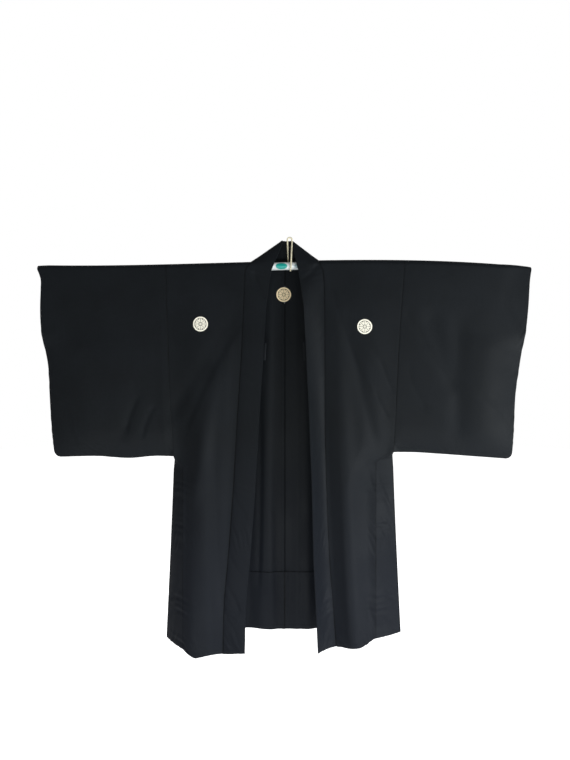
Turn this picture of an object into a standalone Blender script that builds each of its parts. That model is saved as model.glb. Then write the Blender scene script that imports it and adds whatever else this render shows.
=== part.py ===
"""Men's unlined black haori jacket, hung open on a slim rod that passes through both sleeves.

The rod hangs in a doubled cord. The origin is the inside of that cord's top bend, +X is the
wearer's left, the fronts face -Y and +Z is up. All sizes are in metres.

The jacket is cut as a maker cuts it: two body lengths that run from the front hem over the
shoulder to the back hem, two bag sleeves, two side gussets, one collar band folded double, the
turned-up back hem and two loops for the haori cord. Every piece is a thin wall made from one
grid, laid by a function of its place across and down the cut.
"""

import math
from collections import namedtuple

import bmesh
import bpy
import numpy as np
from mathutils import Vector

# ---------------------------------------------------------------- driving sizes

CLOTH = 0.0012  # thickness of a single wall of silk
BAND_CLOTH = 0.0024  # the collar band is folded double
SEAM = 0.0003  # gap between two pieces at a seam
BAND_WIDTH = 0.057  # finished width of the collar band
BAND_INSET = 0.0009  # how far the band starts from the seam line
NECK_INSET = 0.0024  # the same at the neck, where the two meet at an angle
BAND_BACK_Y = 0.0155  # depth of the folded edge behind the middle of the neck
BAND_TAPER_Z = -0.60  # from here down the band's cross lines turn to follow its hem
BAND_TAPER = 0.44  # over this height
# how late the band turns forward on its way to its folded edge; below 1 it turns at its seam
BAND_ROLL = {"left": 1.6, "right": 0.65}
PEAK_STEP = 0.0045  # how far the back of the band starts behind its creased front
GUSSET_FRONT_INSET = 0.0014  # the same for the gusset, whose wall meets the panels at an angle
GUSSET_BACK_INSET = 0.0050

ROD_RADIUS = 0.010
ROD_ENDS = (-0.616, 0.536)
ROD_LEVEL = -0.070  # the rod's rough level, at which the edges by the shoulder are read
ROD_MIDDLE_Z = -0.0706
ROD_TILT = 0.0231
ROD_BOW = 0.0354
ROD_SKEW = 0.0705
FOLD_RADIUS = 0.0125  # middle of the cloth where it lies over the rod
END_RADIUS = 0.008  # the same at the cuffs, past the ends of the rod
END_SLOPE = 0.02  # fall of the sleeve past the ends of the rod
END_DROOP = 0.9  # and its growth, per metre

CENTRE_X = -0.0128  # centre seam of the back
FRONT_HEM_DEPTH = 0.042  # how far the front hem stands in front of the rod
BACK_HEM_DEPTH = 0.034  # how far the back hem stands behind it
BODY_DROP = 0.95  # from the rod to the hem
SIDE_EASE = 0.085  # a panel reaches its full depth this far in from its outer edge
SKIRT_DROP = 0.46  # from the underarm to the hem
GUSSET_FRONT_HALF = 0.032  # half depths at the hem, at the two edges of the gusset
GUSSET_BACK_HALF = 0.012
SLEEVE_WIDTH = 0.31
SLEEVE_DEPTH = 0.48
SLEEVE_HALF = 0.0105  # half the space between the walls of a sleeve
BOTTOM_REACH = 0.06  # the sleeve's walls part over this distance from the bottom seam
CUFF_REACH = 0.05  # and over this distance from the sewn part of the cuff
CUFF_CLOSING = 0.11  # share of the sleeve's depth over which the hand opening closes
UNDERARM_HALF = 0.002  # half the space between front and back under the arm
CUFF_CORNER = 0.015  # radius of the sleeve's lower outer corner
UNDERARM_EASE = 0.05  # the underarm's gap closes over this share of the sleeve's width
FRONT_STEP = 0.026  # the front's edge steps in to the gusset's seam over this height
BACK_STEP = 0.04  # and the back's edge out to the side over this one
SHOULDER_EASE = 0.06  # folds start this far below the rod
HANG_CURVE = 1.3  # how late the fronts and the back start to stand away from the rod
SIDE_CURVE = 0.8  # how soon the sides do
CUFF_OPEN = 0.4387  # share of the sleeve's depth that is open for the hand
TURNUP_TOP_Z = -0.858  # upper edge of the turned-up back hem
TURNUP_OFFSET = -0.0016  # the turn-up lies this far inside the back
NECK_SAG = 0.0065  # how far the back neck stands away from the rod
NECK_EASE = 0.045  # over this distance in from each shoulder
NECK_DROP = 0.16  # and fading over this distance down the back

CORD_RADIUS = 0.002
CORD_BEND = 0.006  # radius of the cord's top bend
CORD_CLEAR = 0.0005  # gap between cord and rod
CORD_REST_X = 0.0032  # where its strands come down to the rod
CORD_END_X = 0.0008
CORD_RISE = 0.006  # its turn under the rod starts this far above the rod's middle
LOOP_WIDTH = 0.006
LOOP_GAP = 0.0016  # half the space inside the folded loop
LOOP_LENGTH = 0.042
LOOP_TOP_Z = -0.268
LOOP_CLOTH = 0.0010

# share of the way down the sleeve, and then from the sleeve to the hem, at each row of the grids
SLEEVE_ROWS = (0.0, 0.05, 0.12, 0.22, 0.33, CUFF_OPEN, 0.55, 0.67, 0.79, 0.89, 0.969, 0.991, 1.0)
SKIRT_ROWS = (0.05, 0.14, 0.26, 0.39, 0.52, 0.65, 0.78, 0.90, 1.0)
ARC_DEGREES = (135, 90, 45)
SLEEVE_COLUMNS = (0.0, 0.09, 0.19, 0.30, 0.42, 0.54, 0.66, 0.77, 0.87, 0.95, 1.0)
FRONT_COLUMNS = 9
BACK_COLUMNS = 6
BAND_COLUMNS = (0.0, 0.14, 0.40, 0.70, 1.0)
GUSSET_COLUMNS = 3

# ---------------------------------------------------------------- tables

# places of an edge at a height, for the wearer's left and right
Edge = namedtuple("Edge", "z left right")
ARMHOLE = (
    Edge(-0.062, 0.2905, -0.3130),
    Edge(-0.130, 0.2862, -0.3128),
    Edge(-0.250, 0.2776, -0.3090),
    Edge(-0.410, 0.2700, -0.3037),
    Edge(-0.556, 0.2632, -0.2945),
)
CUFF = (
    Edge(-0.070, 0.6153, -0.6440),
    Edge(-0.112, 0.6090, -0.6305),
    Edge(-0.188, 0.6040, -0.6328),
    Edge(-0.244, 0.5985, -0.6300),
    Edge(-0.330, 0.5850, -0.6155),
    Edge(-0.410, 0.5748, -0.6115),
    Edge(-0.490, 0.5715, -0.6065),
    Edge(-0.560, 0.5665, -0.5985),
)
GUSSET_SEAM = (
    Edge(-0.556, 0.2180, -0.2712),
    Edge(-0.780, 0.2165, -0.2690),
    Edge(-1.030, 0.2140, -0.2660),
)
SIDE_EDGE = (
    Edge(-0.550, 0.2640, -0.2955),
    Edge(-0.700, 0.2700, -0.3015),
    Edge(-1.020, 0.2858, -0.3165),
)
COLLAR_SEAM = (
    Edge(-0.056, 0.0720, -0.0970),
    Edge(-0.068, 0.0765, -0.1040),
    Edge(-0.087, 0.0848, -0.1135),
    Edge(-0.135, 0.0876, -0.1152),
    Edge(-0.280, 0.0886, -0.1215),
    Edge(-0.452, 0.0888, -0.1322),
    Edge(-0.634, 0.0925, -0.1422),
    Edge(-0.795, 0.0990, -0.1537),
    Edge(-0.935, 0.1092, -0.1650),
    Edge(-1.040, 0.1165, -0.1670),
)
# how far the band's folded edge stands behind its seam; less than nothing is in front of it
BAND_LEAN = (
    Edge(-0.070, -0.0010, -0.0005),
    Edge(-0.130, -0.0130, -0.0035),
    Edge(-0.280, -0.0285, -0.0090),
    Edge(-0.510, -0.0405, -0.0115),
    Edge(-0.630, -0.0420, -0.0120),
    Edge(-0.825, -0.0385, -0.0125),
    Edge(-1.035, -0.0320, -0.0120),
)
# the band's folded edge above its last level row, up to the peak behind the neck
Peak = namedtuple("Peak", "z left_x right_x y")
PEAK = (
    Peak(-0.0038, 0.0050, -0.0184, 0.0080),
    Peak(-0.0110, 0.0062, -0.0190, 0.0030),
    Peak(-0.0360, 0.0108, -0.0275, -0.0060),
    Peak(-0.0628, 0.0160, -0.0380, -0.0130),
    Peak(-0.0850, 0.0215, -0.0462, -0.0150),
)

# heights across a bottom edge, by the share of the way from its inner to its outer end
Bottom = namedtuple("Bottom", "across left right")
SLEEVE_BOTTOM = (
    Bottom(0.00, -0.5448, -0.5555),
    Bottom(0.15, -0.5450, -0.5545),
    Bottom(0.40, -0.5490, -0.5598),
    Bottom(0.70, -0.5552, -0.5548),
    Bottom(1.00, -0.5615, -0.5568),
)
FRONT_HEM = (  # from the collar seam out to the gusset
    Bottom(0.00, -1.0235, -1.0440),
    Bottom(0.35, -1.0225, -1.0430),
    Bottom(0.66, -1.0210, -1.0480),
    Bottom(0.84, -1.0140, -1.0410),
    Bottom(1.00, -1.0065, -1.0315),
)
BAND_HEM = (  # from the collar seam to the folded edge
    Bottom(0.00, -1.0235, -1.0440),
    Bottom(1.00, -1.0265, -1.0380),
)
BACK_HEM = (  # from the centre seam out to the side
    Bottom(0.00, -1.0100, -1.0100),
    Bottom(0.50, -1.0068, -1.0055),
    Bottom(1.00, -1.0080, -1.0205),
)

# A fold runs from its top to its foot. A rise towards the front is above nothing.
Fold = namedtuple("Fold", "top_x top_z foot_x foot_z width top_rise foot_rise")
FRONT_FOLDS = (
    Fold(-0.2280, -0.400, -0.2420, -1.080, 0.036, 0.004, 0.012),
    Fold(-0.1320, -0.360, -0.1690, -1.080, 0.028, -0.004, -0.007),
    Fold(-0.1290, -0.183, -0.2850, -0.431, 0.022, -0.002, -0.003),
    Fold(-0.1840, -0.344, -0.2370, -0.640, 0.022, 0.004, 0.005),
    Fold(0.1180, -0.260, 0.1640, -1.060, 0.030, 0.005, 0.018),
    Fold(0.0830, -0.400, 0.1080, -1.060, 0.018, -0.004, -0.007),
    Fold(0.1440, -0.224, 0.2105, -0.500, 0.014, -0.003, -0.004),
    Fold(0.3550, -0.200, 0.4100, -0.370, 0.022, -0.003, -0.003),
    Fold(0.5000, -0.180, 0.4900, -0.480, 0.040, 0.002, 0.002),
    Fold(0.4270, -0.220, 0.4270, -0.500, 0.024, -0.003, -0.004),
    Fold(-0.3900, -0.380, -0.4250, -0.510, 0.020, -0.002, -0.003),
)
BACK_FOLDS = (
    Fold(-0.0560, -0.180, -0.0640, -1.060, 0.026, 0.003, 0.008),
    Fold(0.0420, -0.220, 0.0500, -1.060, 0.024, 0.003, 0.007),
    Fold(-0.1500, -0.260, -0.1750, -1.060, 0.034, -0.004, -0.012),
    Fold(0.1420, -0.240, 0.1650, -1.060, 0.032, -0.004, -0.011),
    Fold(-0.2300, -0.400, -0.2450, -1.060, 0.026, 0.003, 0.007),
    Fold(0.2150, -0.450, 0.2250, -1.060, 0.026, 0.003, 0.006),
    Fold(0.3900, -0.140, 0.4200, -0.500, 0.030, -0.003, -0.004),
    Fold(-0.4700, -0.140, -0.4900, -0.500, 0.034, -0.003, -0.004),
)

# ---------------------------------------------------------------- finishes

Finish = namedtuple("Finish", "colour roughness")
BLACK_SILK = Finish((0.010, 0.011, 0.016), 0.62)
WHITE_ROD = Finish((0.80, 0.81, 0.80), 0.38)
BEIGE_CORD = Finish((0.62, 0.52, 0.36), 0.80)


# ---------------------------------------------------------------- curves and blends


def smooth(share):
    """0 to 1 with level ends."""
    share = min(max(share, 0.0), 1.0)
    return share * share * (3.0 - 2.0 * share)


def between(low, high, share):
    return low + (high - low) * share


def eased(stations, values, at):
    """A smooth curve through the values, with no bumps between them (monotone cubic)."""
    stations, values = np.array(stations), np.array(values)
    if stations[0] > stations[-1]:
        stations, values = stations[::-1], values[::-1]
    if at <= stations[0]:
        return float(values[0])
    if at >= stations[-1]:
        return float(values[-1])
    steps = np.diff(stations)
    slopes = np.diff(values) / steps
    tangents = np.zeros(len(values))
    tangents[0], tangents[-1] = slopes[0], slopes[-1]
    for i in range(1, len(slopes)):
        if slopes[i - 1] * slopes[i] > 0:
            tangents[i] = 2.0 / (1.0 / slopes[i - 1] + 1.0 / slopes[i])
    i = int(np.searchsorted(stations, at) - 1)
    u = (at - stations[i]) / steps[i]
    return float(
        (1 + 2 * u) * (1 - u) ** 2 * values[i]
        + u * (1 - u) ** 2 * steps[i] * tangents[i]
        + u * u * (3 - 2 * u) * values[i + 1]
        + u * u * (u - 1) * steps[i] * tangents[i + 1]
    )


def edge_x(table, side, z):
    return eased([row.z for row in table], [getattr(row, side) for row in table], z)


def bottom_z(table, side, across):
    return eased([row.across for row in table], [getattr(row, side) for row in table], across)


def raised(folds, x, z):
    """How far the folds bring the cloth forward at a place."""
    total = 0.0
    for fold in folds:
        run = Vector((fold.foot_x - fold.top_x, fold.foot_z - fold.top_z))
        out = Vector((x - fold.top_x, z - fold.top_z))
        along = out.dot(run) / run.length_squared
        aside = abs(out.x * run.y - out.y * run.x) / run.length
        ends = smooth((along + 0.18) / 0.30) * smooth((1.22 - along) / 0.30)
        rise = between(fold.top_rise, fold.foot_rise, min(max(along, 0.0), 1.0))
        total += rise * ends * math.exp(-((aside / fold.width) ** 2))
    return total


# ---------------------------------------------------------------- the rod's line and the fold over it


def rod_z(x):
    return ROD_MIDDLE_Z + ROD_TILT * x - ROD_BOW * x**2 - ROD_SKEW * x**3


def past_rod(x):
    """How far a place lies past the rod's nearer end."""
    return max(ROD_ENDS[0] - x, x - ROD_ENDS[1], 0.0)


def fold_radius(x):
    return between(FOLD_RADIUS, END_RADIUS, smooth(past_rod(x) / 0.06))


def fold_z(x):
    """Height of the middle of the round that the cloth makes over the rod."""
    held = min(max(x, ROD_ENDS[0]), ROD_ENDS[1])
    slip = FOLD_RADIUS - fold_radius(x)
    return rod_z(held) + slip - END_SLOPE * past_rod(x) - END_DROOP * past_rod(x) ** 2


# ---------------------------------------------------------------- sleeves


def cuff_x(side, z, low):
    """The cuff's edge, with its lower corner rounded off."""
    lift = min(max(z - low, 0.0), CUFF_CORNER)
    inset = CUFF_CORNER - math.sqrt(CUFF_CORNER**2 - (CUFF_CORNER - lift) ** 2)
    x = edge_x(CUFF, side, z)
    return x - math.copysign(inset, x)


def pinch(distance, reach):
    """Two sewn walls part quickly at their seam, and lie level beyond its reach."""
    share = min(max(distance / reach, 0.0), 1.0)
    return 1.0 - (1.0 - share) ** 2


def sleeve_half_gap(across, down):
    """Half the space between the sleeve's walls, closed at its sewn edges."""
    half = between(FOLD_RADIUS, SLEEVE_HALF, smooth(down / 0.35))
    floor = between(UNDERARM_HALF / SLEEVE_HALF, 0.0, min(across / UNDERARM_EASE, 1.0))
    low = max(pinch((1.0 - down) * SLEEVE_DEPTH, BOTTOM_REACH), floor)
    sewn = smooth((down - CUFF_OPEN + CUFF_CLOSING) / CUFF_CLOSING)
    wide = 1.0 - 0.2 * smooth(across) * smooth(down / 0.3)
    return half * low * between(wide, pinch((1.0 - across) * SLEEVE_WIDTH, CUFF_REACH), sewn)


def sleeve_place(side, across, down, face):
    """A place on a sleeve: face is -1 on the front wall and 1 on the back wall."""
    top_x = between(edge_x(ARMHOLE, side, ROD_LEVEL), edge_x(CUFF, side, ROD_LEVEL), across)
    low = bottom_z(SLEEVE_BOTTOM, side, across)
    z = between(fold_z(top_x), low, down)
    x = between(edge_x(ARMHOLE, side, z), cuff_x(side, z, low), across)
    half = sleeve_half_gap(across, down)
    folds = FRONT_FOLDS if face < 0 else BACK_FOLDS
    share = min(half / SLEEVE_HALF, 1.0) * smooth(down / 0.12)
    if half > 0.0:
        half = half * between(fold_radius(top_x) / FOLD_RADIUS, 1.0, smooth(down / 0.2))
    return Vector((x, face * half - share * raised(folds, x, z), z))


# ---------------------------------------------------------------- body lengths


def shoulder_x(side):
    """The armhole seam where it crosses the rod."""
    return edge_x(ARMHOLE, side, fold_z(edge_x(ARMHOLE, side, ROD_LEVEL)))


def front_side_x(side, z):
    """The front's outer edge: the armhole, then a short step in to the gusset's seam."""
    low = bottom_z(SLEEVE_BOTTOM, side, 0.0)
    step = smooth((low - z) / FRONT_STEP)
    return between(edge_x(ARMHOLE, side, z), edge_x(GUSSET_SEAM, side, z), step)


def back_side_x(side, z):
    low = bottom_z(SLEEVE_BOTTOM, side, 0.0)
    step = smooth((low - z) / BACK_STEP)
    return between(edge_x(ARMHOLE, side, z), edge_x(SIDE_EDGE, side, z), step)


def row_height(side, row, low, x):
    """Height of a grid row: rows 0 to 12 are the sleeve's, and the rest go on to the hem."""
    underarm = bottom_z(SLEEVE_BOTTOM, side, 0.0)
    if row < len(SLEEVE_ROWS):
        return between(fold_z(x), underarm, SLEEVE_ROWS[row])
    return between(underarm, low, SKIRT_ROWS[row - len(SLEEVE_ROWS)])


def hang(z):
    """Share of the way from the rod down to the hem."""
    return min(max((ROD_MIDDLE_Z - z) / BODY_DROP, 0.0), 1.1)


def side_half(side, z, at_hem):
    """Half depth at the outer edge: the armhole's, then the gusset seam's."""
    low = bottom_z(SLEEVE_BOTTOM, side, 0.0)
    if z >= low:
        top = fold_z(edge_x(ARMHOLE, side, z))
        return sleeve_half_gap(0.0, (top - z) / (top - low))
    return between(UNDERARM_HALF, at_hem, min((low - z) / SKIRT_DROP, 1.0) ** SIDE_CURVE)


def front_place(side, across, row):
    """A place on a front, from its outer edge (across 0) to the collar seam (across 1)."""
    x = between(front_side_x(side, ROD_LEVEL), edge_x(COLLAR_SEAM, side, ROD_LEVEL), across)
    z = row_height(side, row, bottom_z(FRONT_HEM, side, 1.0 - across), x)
    x = between(front_side_x(side, z), edge_x(COLLAR_SEAM, side, z), across)
    inward = smooth(abs(x - front_side_x(side, z)) / SIDE_EASE)
    edge = side_half(side, z, GUSSET_FRONT_HALF)
    deep = between(FOLD_RADIUS, FRONT_HEM_DEPTH, hang(z) ** HANG_CURVE)
    share = between(min(edge / SLEEVE_HALF, 1.0), 1.0, inward)
    share = share * smooth((fold_z(x) - z) / SHOULDER_EASE)
    return Vector((x, -between(edge, deep, inward) - share * raised(FRONT_FOLDS, x, z), z))


def neck_sag(side, x, z):
    """The back neck stands a little away from the rod between the shoulders."""
    start = edge_x(COLLAR_SEAM, side, COLLAR_SEAM[0].z)
    inward = smooth((abs(start - CENTRE_X) - abs(x - CENTRE_X)) / NECK_EASE)
    return NECK_SAG * inward * math.exp(-(((ROD_MIDDLE_Z - z) / NECK_DROP) ** 2))


def back_x(side, across, z):
    """Across the back: from the side (0) to the neck point (1) and to the centre seam (2)."""
    neck = edge_x(COLLAR_SEAM, side, COLLAR_SEAM[0].z)
    if across <= 1.0:
        return between(back_side_x(side, z), neck, across)
    centre = CENTRE_X + math.copysign(SEAM / 2, neck - CENTRE_X)
    return between(neck, centre, across - 1.0)


def back_place(side, across, row):
    """A place on a back, below the fold over the rod."""
    x = back_x(side, across, ROD_LEVEL)
    whole = abs(back_x(side, 0.0, SIDE_EDGE[1].z) - CENTRE_X)
    z = row_height(side, row, bottom_z(BACK_HEM, side, abs(x - CENTRE_X) / whole), x)
    x = back_x(side, across, z)
    inward = smooth(abs(x - back_side_x(side, z)) / SIDE_EASE)
    edge = side_half(side, z, GUSSET_BACK_HALF)
    deep = between(FOLD_RADIUS, BACK_HEM_DEPTH, hang(z) ** HANG_CURVE)
    share = between(min(edge / SLEEVE_HALF, 1.0), 1.0, inward)
    share = share * smooth((fold_z(x) - z) / SHOULDER_EASE)
    forward = share * raised(BACK_FOLDS, x, z)
    return Vector((x, between(edge, deep, inward) - forward + neck_sag(side, x, z), z))


def over_rod(side, across, degrees):
    """A place on the round over the rod: 180 degrees faces front and 0 faces back."""
    if across <= 1.0:
        angle = math.radians(degrees)
        reach = fold_z(0.0) + FOLD_RADIUS * math.sin(angle)
        inner = edge_x(COLLAR_SEAM, side, reach if degrees > 90 else COLLAR_SEAM[0].z)
        x = between(shoulder_x(side), inner, across)
        return Vector((x, FOLD_RADIUS * math.cos(angle), fold_z(x) + FOLD_RADIUS * math.sin(angle)))
    x = back_x(side, across, ROD_LEVEL)
    corner = FOLD_RADIUS * math.sqrt(0.5)
    start = back_x(side, 1.0, ROD_LEVEL)
    open_share = smooth(abs(x - start) / NECK_EASE)
    return Vector((x, between(corner, FOLD_RADIUS + NECK_SAG, open_share), fold_z(x) + corner))


# ---------------------------------------------------------------- collar band


def seam_place(side, row):
    """The collar seam on the front at a grid row, and over the rod for rows below nought."""
    if row >= 0:
        return front_place(side, 1.0, row)
    return over_rod(side, 1.0, ARC_DEGREES[-1 - row])


LEVEL_ROW = 3  # from this row down, the band's cross lines are level


def band_edge_place(side, row):
    """The band's folded edge at a grid row."""
    last = seam_place(side, LEVEL_ROW)
    if row < LEVEL_ROW:
        share = (row + 2) / (LEVEL_ROW + 2)
        z = between(PEAK[0].z, last.z, share)
        low = band_edge_place(side, LEVEL_ROW)
        heights = [peak.z for peak in PEAK] + [low.z]
        xs = [getattr(peak, side + "_x") for peak in PEAK] + [low.x]
        ys = [peak.y for peak in PEAK] + [low.y]
        return Vector((eased(heights, xs, z), eased(heights, ys, z), z))
    seam = seam_place(side, row)
    lean = edge_x(BAND_LEAN, side, seam.z)
    reach = math.sqrt(BAND_WIDTH**2 - lean**2)
    drop = bottom_z(BAND_HEM, side, 1.0) - bottom_z(BAND_HEM, side, 0.0)
    z = seam.z + drop * smooth((BAND_TAPER_Z - seam.z) / BAND_TAPER)
    return Vector((seam.x - math.copysign(reach, seam.x - CENTRE_X), seam.y + lean, z))


def band_front_place(side, across, row):
    """A place on the front of the band, from its seam (0) to its folded edge (1)."""
    seam = seam_place(side, row)
    fold = band_edge_place(side, row)
    inset = BAND_INSET if row >= 1 else NECK_INSET
    share = between(inset / BAND_WIDTH, 1.0, across)
    place = seam.lerp(fold, share)
    if row >= LEVEL_ROW:
        place.y = between(seam.y, fold.y, share ** BAND_ROLL[side])
    return place


def band_back_place(side, across, along):
    """A place on the back of the band: along is 0 at the crease over the rod and 1 at the centre."""
    neck = over_rod(side, 1.0 + along, ARC_DEGREES[-1])
    peak = Vector((getattr(PEAK[0], side + "_x"), PEAK[0].y + PEAK_STEP, PEAK[0].z))
    middle = Vector((CENTRE_X / 2, BAND_BACK_Y, PEAK[0].z))
    top = peak.lerp(middle, along)
    top.y = between(peak.y, middle.y, smooth(along))
    return neck.lerp(top, between(NECK_INSET / BAND_WIDTH, 1.0, across))


# ---------------------------------------------------------------- making the pieces


def material(finish, name):
    made = bpy.data.materials.new(name)
    made.use_nodes = True
    shader = made.node_tree.nodes["Principled BSDF"]
    shader.inputs["Base Color"].default_value = (*finish.colour, 1.0)
    shader.inputs["Roughness"].default_value = finish.roughness
    shader.inputs["Metallic"].default_value = 0.0
    made.diffuse_color = (*finish.colour, 1.0)
    return made


def piece(name, mesh, finish, collection):
    made = bpy.data.objects.new(name, mesh)
    made.data.materials.append(material(finish, name + "_finish"))
    collection.objects.link(made)
    return made


def laid_grid(columns, rows, place, keep=None):
    """A grid of columns by rows of points, each moved to its place; unkept points are cut away."""
    cloth = bmesh.new()
    bmesh.ops.create_grid(cloth, x_segments=columns - 1, y_segments=rows - 1, size=1.0)
    unkept = []
    for point in cloth.verts:
        column = round((point.co.x + 1.0) / 2.0 * (columns - 1))
        row = round((point.co.y + 1.0) / 2.0 * (rows - 1))
        if keep is not None and not keep(column, row):
            unkept.append(point)
            continue
        point.co = place(column, row)
    bmesh.ops.delete(cloth, geom=unkept, context="VERTS")
    return cloth


def cloth_piece(name, cloth, thickness, collection):
    """Closes a laid grid into a wall with its outside facing out."""
    bmesh.ops.remove_doubles(cloth, verts=cloth.verts, dist=0.00005)
    bmesh.ops.recalc_face_normals(cloth, faces=cloth.faces)
    mesh = bpy.data.meshes.new(name)
    cloth.to_mesh(mesh)
    cloth.free()
    mesh.shade_smooth()
    made = piece(name, mesh, BLACK_SILK, collection)
    wall = made.modifiers.new("wall", "SOLIDIFY")
    wall.thickness = thickness
    wall.offset = 0.0
    return made


def make_body(side, collection):
    """One body length, from the front hem over the rod to the back hem."""
    levels = len(SLEEVE_ROWS) + len(SKIRT_ROWS)
    arc = len(ARC_DEGREES)
    columns = FRONT_COLUMNS + BACK_COLUMNS

    def keep(column, row):
        return column <= FRONT_COLUMNS or row >= levels + arc - 1

    def place(column, row):
        across = min(column / FRONT_COLUMNS, 1.0) + max(column - FRONT_COLUMNS, 0) / BACK_COLUMNS
        if row < levels:
            return front_place(side, across, levels - 1 - row)
        if row < levels + arc:
            return over_rod(side, across, ARC_DEGREES[row - levels])
        return back_place(side, across, row - levels - arc)

    cloth = laid_grid(columns + 1, 2 * levels + arc, place, keep)
    return cloth_piece("body_" + side, cloth, CLOTH, collection)


def make_sleeve(side, collection):
    """A bag sleeve, folded over the rod and sewn along the bottom and the lower cuff."""
    levels = len(SLEEVE_ROWS)
    arc = len(ARC_DEGREES)
    clear = SEAM / SLEEVE_WIDTH

    def place(column, row):
        across = max(SLEEVE_COLUMNS[column], clear)
        if row < levels:
            return sleeve_place(side, across, SLEEVE_ROWS[levels - 1 - row], -1)
        if row >= levels + arc:
            return sleeve_place(side, across, SLEEVE_ROWS[row - levels - arc], 1)
        angle = math.radians(ARC_DEGREES[row - levels])
        start = sleeve_place(side, across, 0.0, -1)
        half = -start.y
        return Vector((start.x, half * math.cos(angle), start.z + half * math.sin(angle)))

    cloth = laid_grid(len(SLEEVE_COLUMNS), 2 * levels + arc, place)
    return cloth_piece("sleeve_" + side, cloth, CLOTH, collection)


def make_gusset(side, collection):
    """The side strip between the front and the back, from the underarm to the hem."""
    first = len(SLEEVE_ROWS) - 1
    last = first + len(SKIRT_ROWS)

    def place(column, row):
        level = last - row
        front = front_place(side, 0.0, level)
        back = back_place(side, 0.0, level)
        width = (back - front).length
        start = min(GUSSET_FRONT_INSET / width, 0.30)
        stop = 1.0 - min(GUSSET_BACK_INSET / width, 0.30)
        share = between(start, stop, column / GUSSET_COLUMNS)
        spot = front.lerp(back, share)
        outward = math.copysign(0.05 * width * math.sin(math.pi * share), spot.x)
        drop = CLOTH if row == last - first else 0.0
        return spot + Vector((outward, 0.0, -drop))

    cloth = laid_grid(GUSSET_COLUMNS + 1, last - first + 1, place)
    return cloth_piece("gusset_" + side, cloth, CLOTH, collection)


def make_collar(collection):
    """The band: up one front, folded over the rod, behind the neck and down the other front."""
    levels = len(SLEEVE_ROWS) + len(SKIRT_ROWS)
    behind = (0.06, 0.25, 0.5, 0.75)
    crease = 2
    rising = levels + crease
    half = rising + len(behind)

    def place(column, row):
        across = BAND_COLUMNS[column]
        side = "left"
        if row > half:
            side = "right"
            row = 2 * half - row
        if row < rising:
            return band_front_place(side, across, levels - 1 - row)
        if row == half:
            both = [band_back_place(which, across, 1.0) for which in ("left", "right")]
            return (both[0] + both[1]) / 2
        along = behind[row - rising]
        return band_back_place(side, across, 0.0 if row == rising else along)

    cloth = laid_grid(len(BAND_COLUMNS), 2 * half + 1, place)
    return cloth_piece("collar_band", cloth, BAND_CLOTH, collection)


def make_turnup(side, collection):
    """The deep turned-up hem, which lies on the inside of the back."""
    rows = 5
    columns = FRONT_COLUMNS + BACK_COLUMNS
    skirt = len(SLEEVE_ROWS) + len(SKIRT_ROWS) - 1

    def on_back(column, z_share):
        across = column / FRONT_COLUMNS
        if column > FRONT_COLUMNS:
            across = 1.0 + (column - FRONT_COLUMNS) / BACK_COLUMNS
        across = min(max(across, 0.02), 1.99)
        low = back_place(side, across, skirt)
        high = back_place(side, across, skirt - 3)
        z = between(low.z + 0.002, TURNUP_TOP_Z, z_share)
        steps = [back_place(side, across, skirt - k) for k in range(4)]
        y = eased([step.z for step in steps], [step.y for step in steps], z)
        x = between(low.x, high.x, (z - low.z) / (high.z - low.z))
        return Vector((x, y + TURNUP_OFFSET, z))

    cloth = laid_grid(columns + 1, rows, lambda column, row: on_back(column, row / (rows - 1)))
    return cloth_piece("hem_turnup_" + side, cloth, CLOTH, collection)


def make_cord_loop(side, collection):
    """A small folded tape at the band's edge, to which a haori cord is hooked."""
    turns = 5
    edge = band_edge_place(side, LEVEL_ROW + 1)
    below = band_edge_place(side, LEVEL_ROW + 2)
    inward = math.copysign(1.0, CENTRE_X - edge.x)
    path = [Vector((0.0, 0.0, 0.0)), Vector((0.0, 0.0, -LOOP_LENGTH * 0.5))]
    for k in range(turns + 1):
        angle = math.pi * k / turns
        back = LOOP_GAP * (1.0 - math.cos(angle))
        path.append(Vector((0.0, back, -LOOP_LENGTH - LOOP_GAP * math.sin(angle))))
    path += [Vector((0.0, 2 * LOOP_GAP, -LOOP_LENGTH * 0.5)), Vector((0.0, 2 * LOOP_GAP, 0.0))]
    start = Vector((edge.x + inward * 0.001, edge.y + BAND_CLOTH / 2 + 0.0012, LOOP_TOP_Z))
    slope = (below.x - edge.x) / (below.z - edge.z)

    def place(column, row):
        spot = start + path[row]
        spot.x += slope * path[row].z + (column - 0.5) * LOOP_WIDTH
        return spot

    cloth = laid_grid(2, len(path), place)
    return cloth_piece("cord_loop_" + side, cloth, LOOP_CLOTH, collection)


def tube(name, points, radius, resolution, finish, collection):
    curve = bpy.data.curves.new(name, "CURVE")
    curve.dimensions = "3D"
    curve.bevel_depth = radius
    curve.bevel_resolution = resolution
    curve.use_fill_caps = True
    spline = curve.splines.new("POLY")
    spline.points.add(len(points) - 1)
    for point, spot in zip(spline.points, points, strict=True):
        point.co = (*spot, 1.0)
    return piece(name, curve, finish, collection)


def make_rod(collection):
    stations = 24
    points = []
    for k in range(stations + 1):
        x = between(ROD_ENDS[0], ROD_ENDS[1], k / stations)
        points.append((x, 0.0, rod_z(x)))
    return tube("rod", points, ROD_RADIUS, 5, WHITE_ROD, collection)


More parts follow.
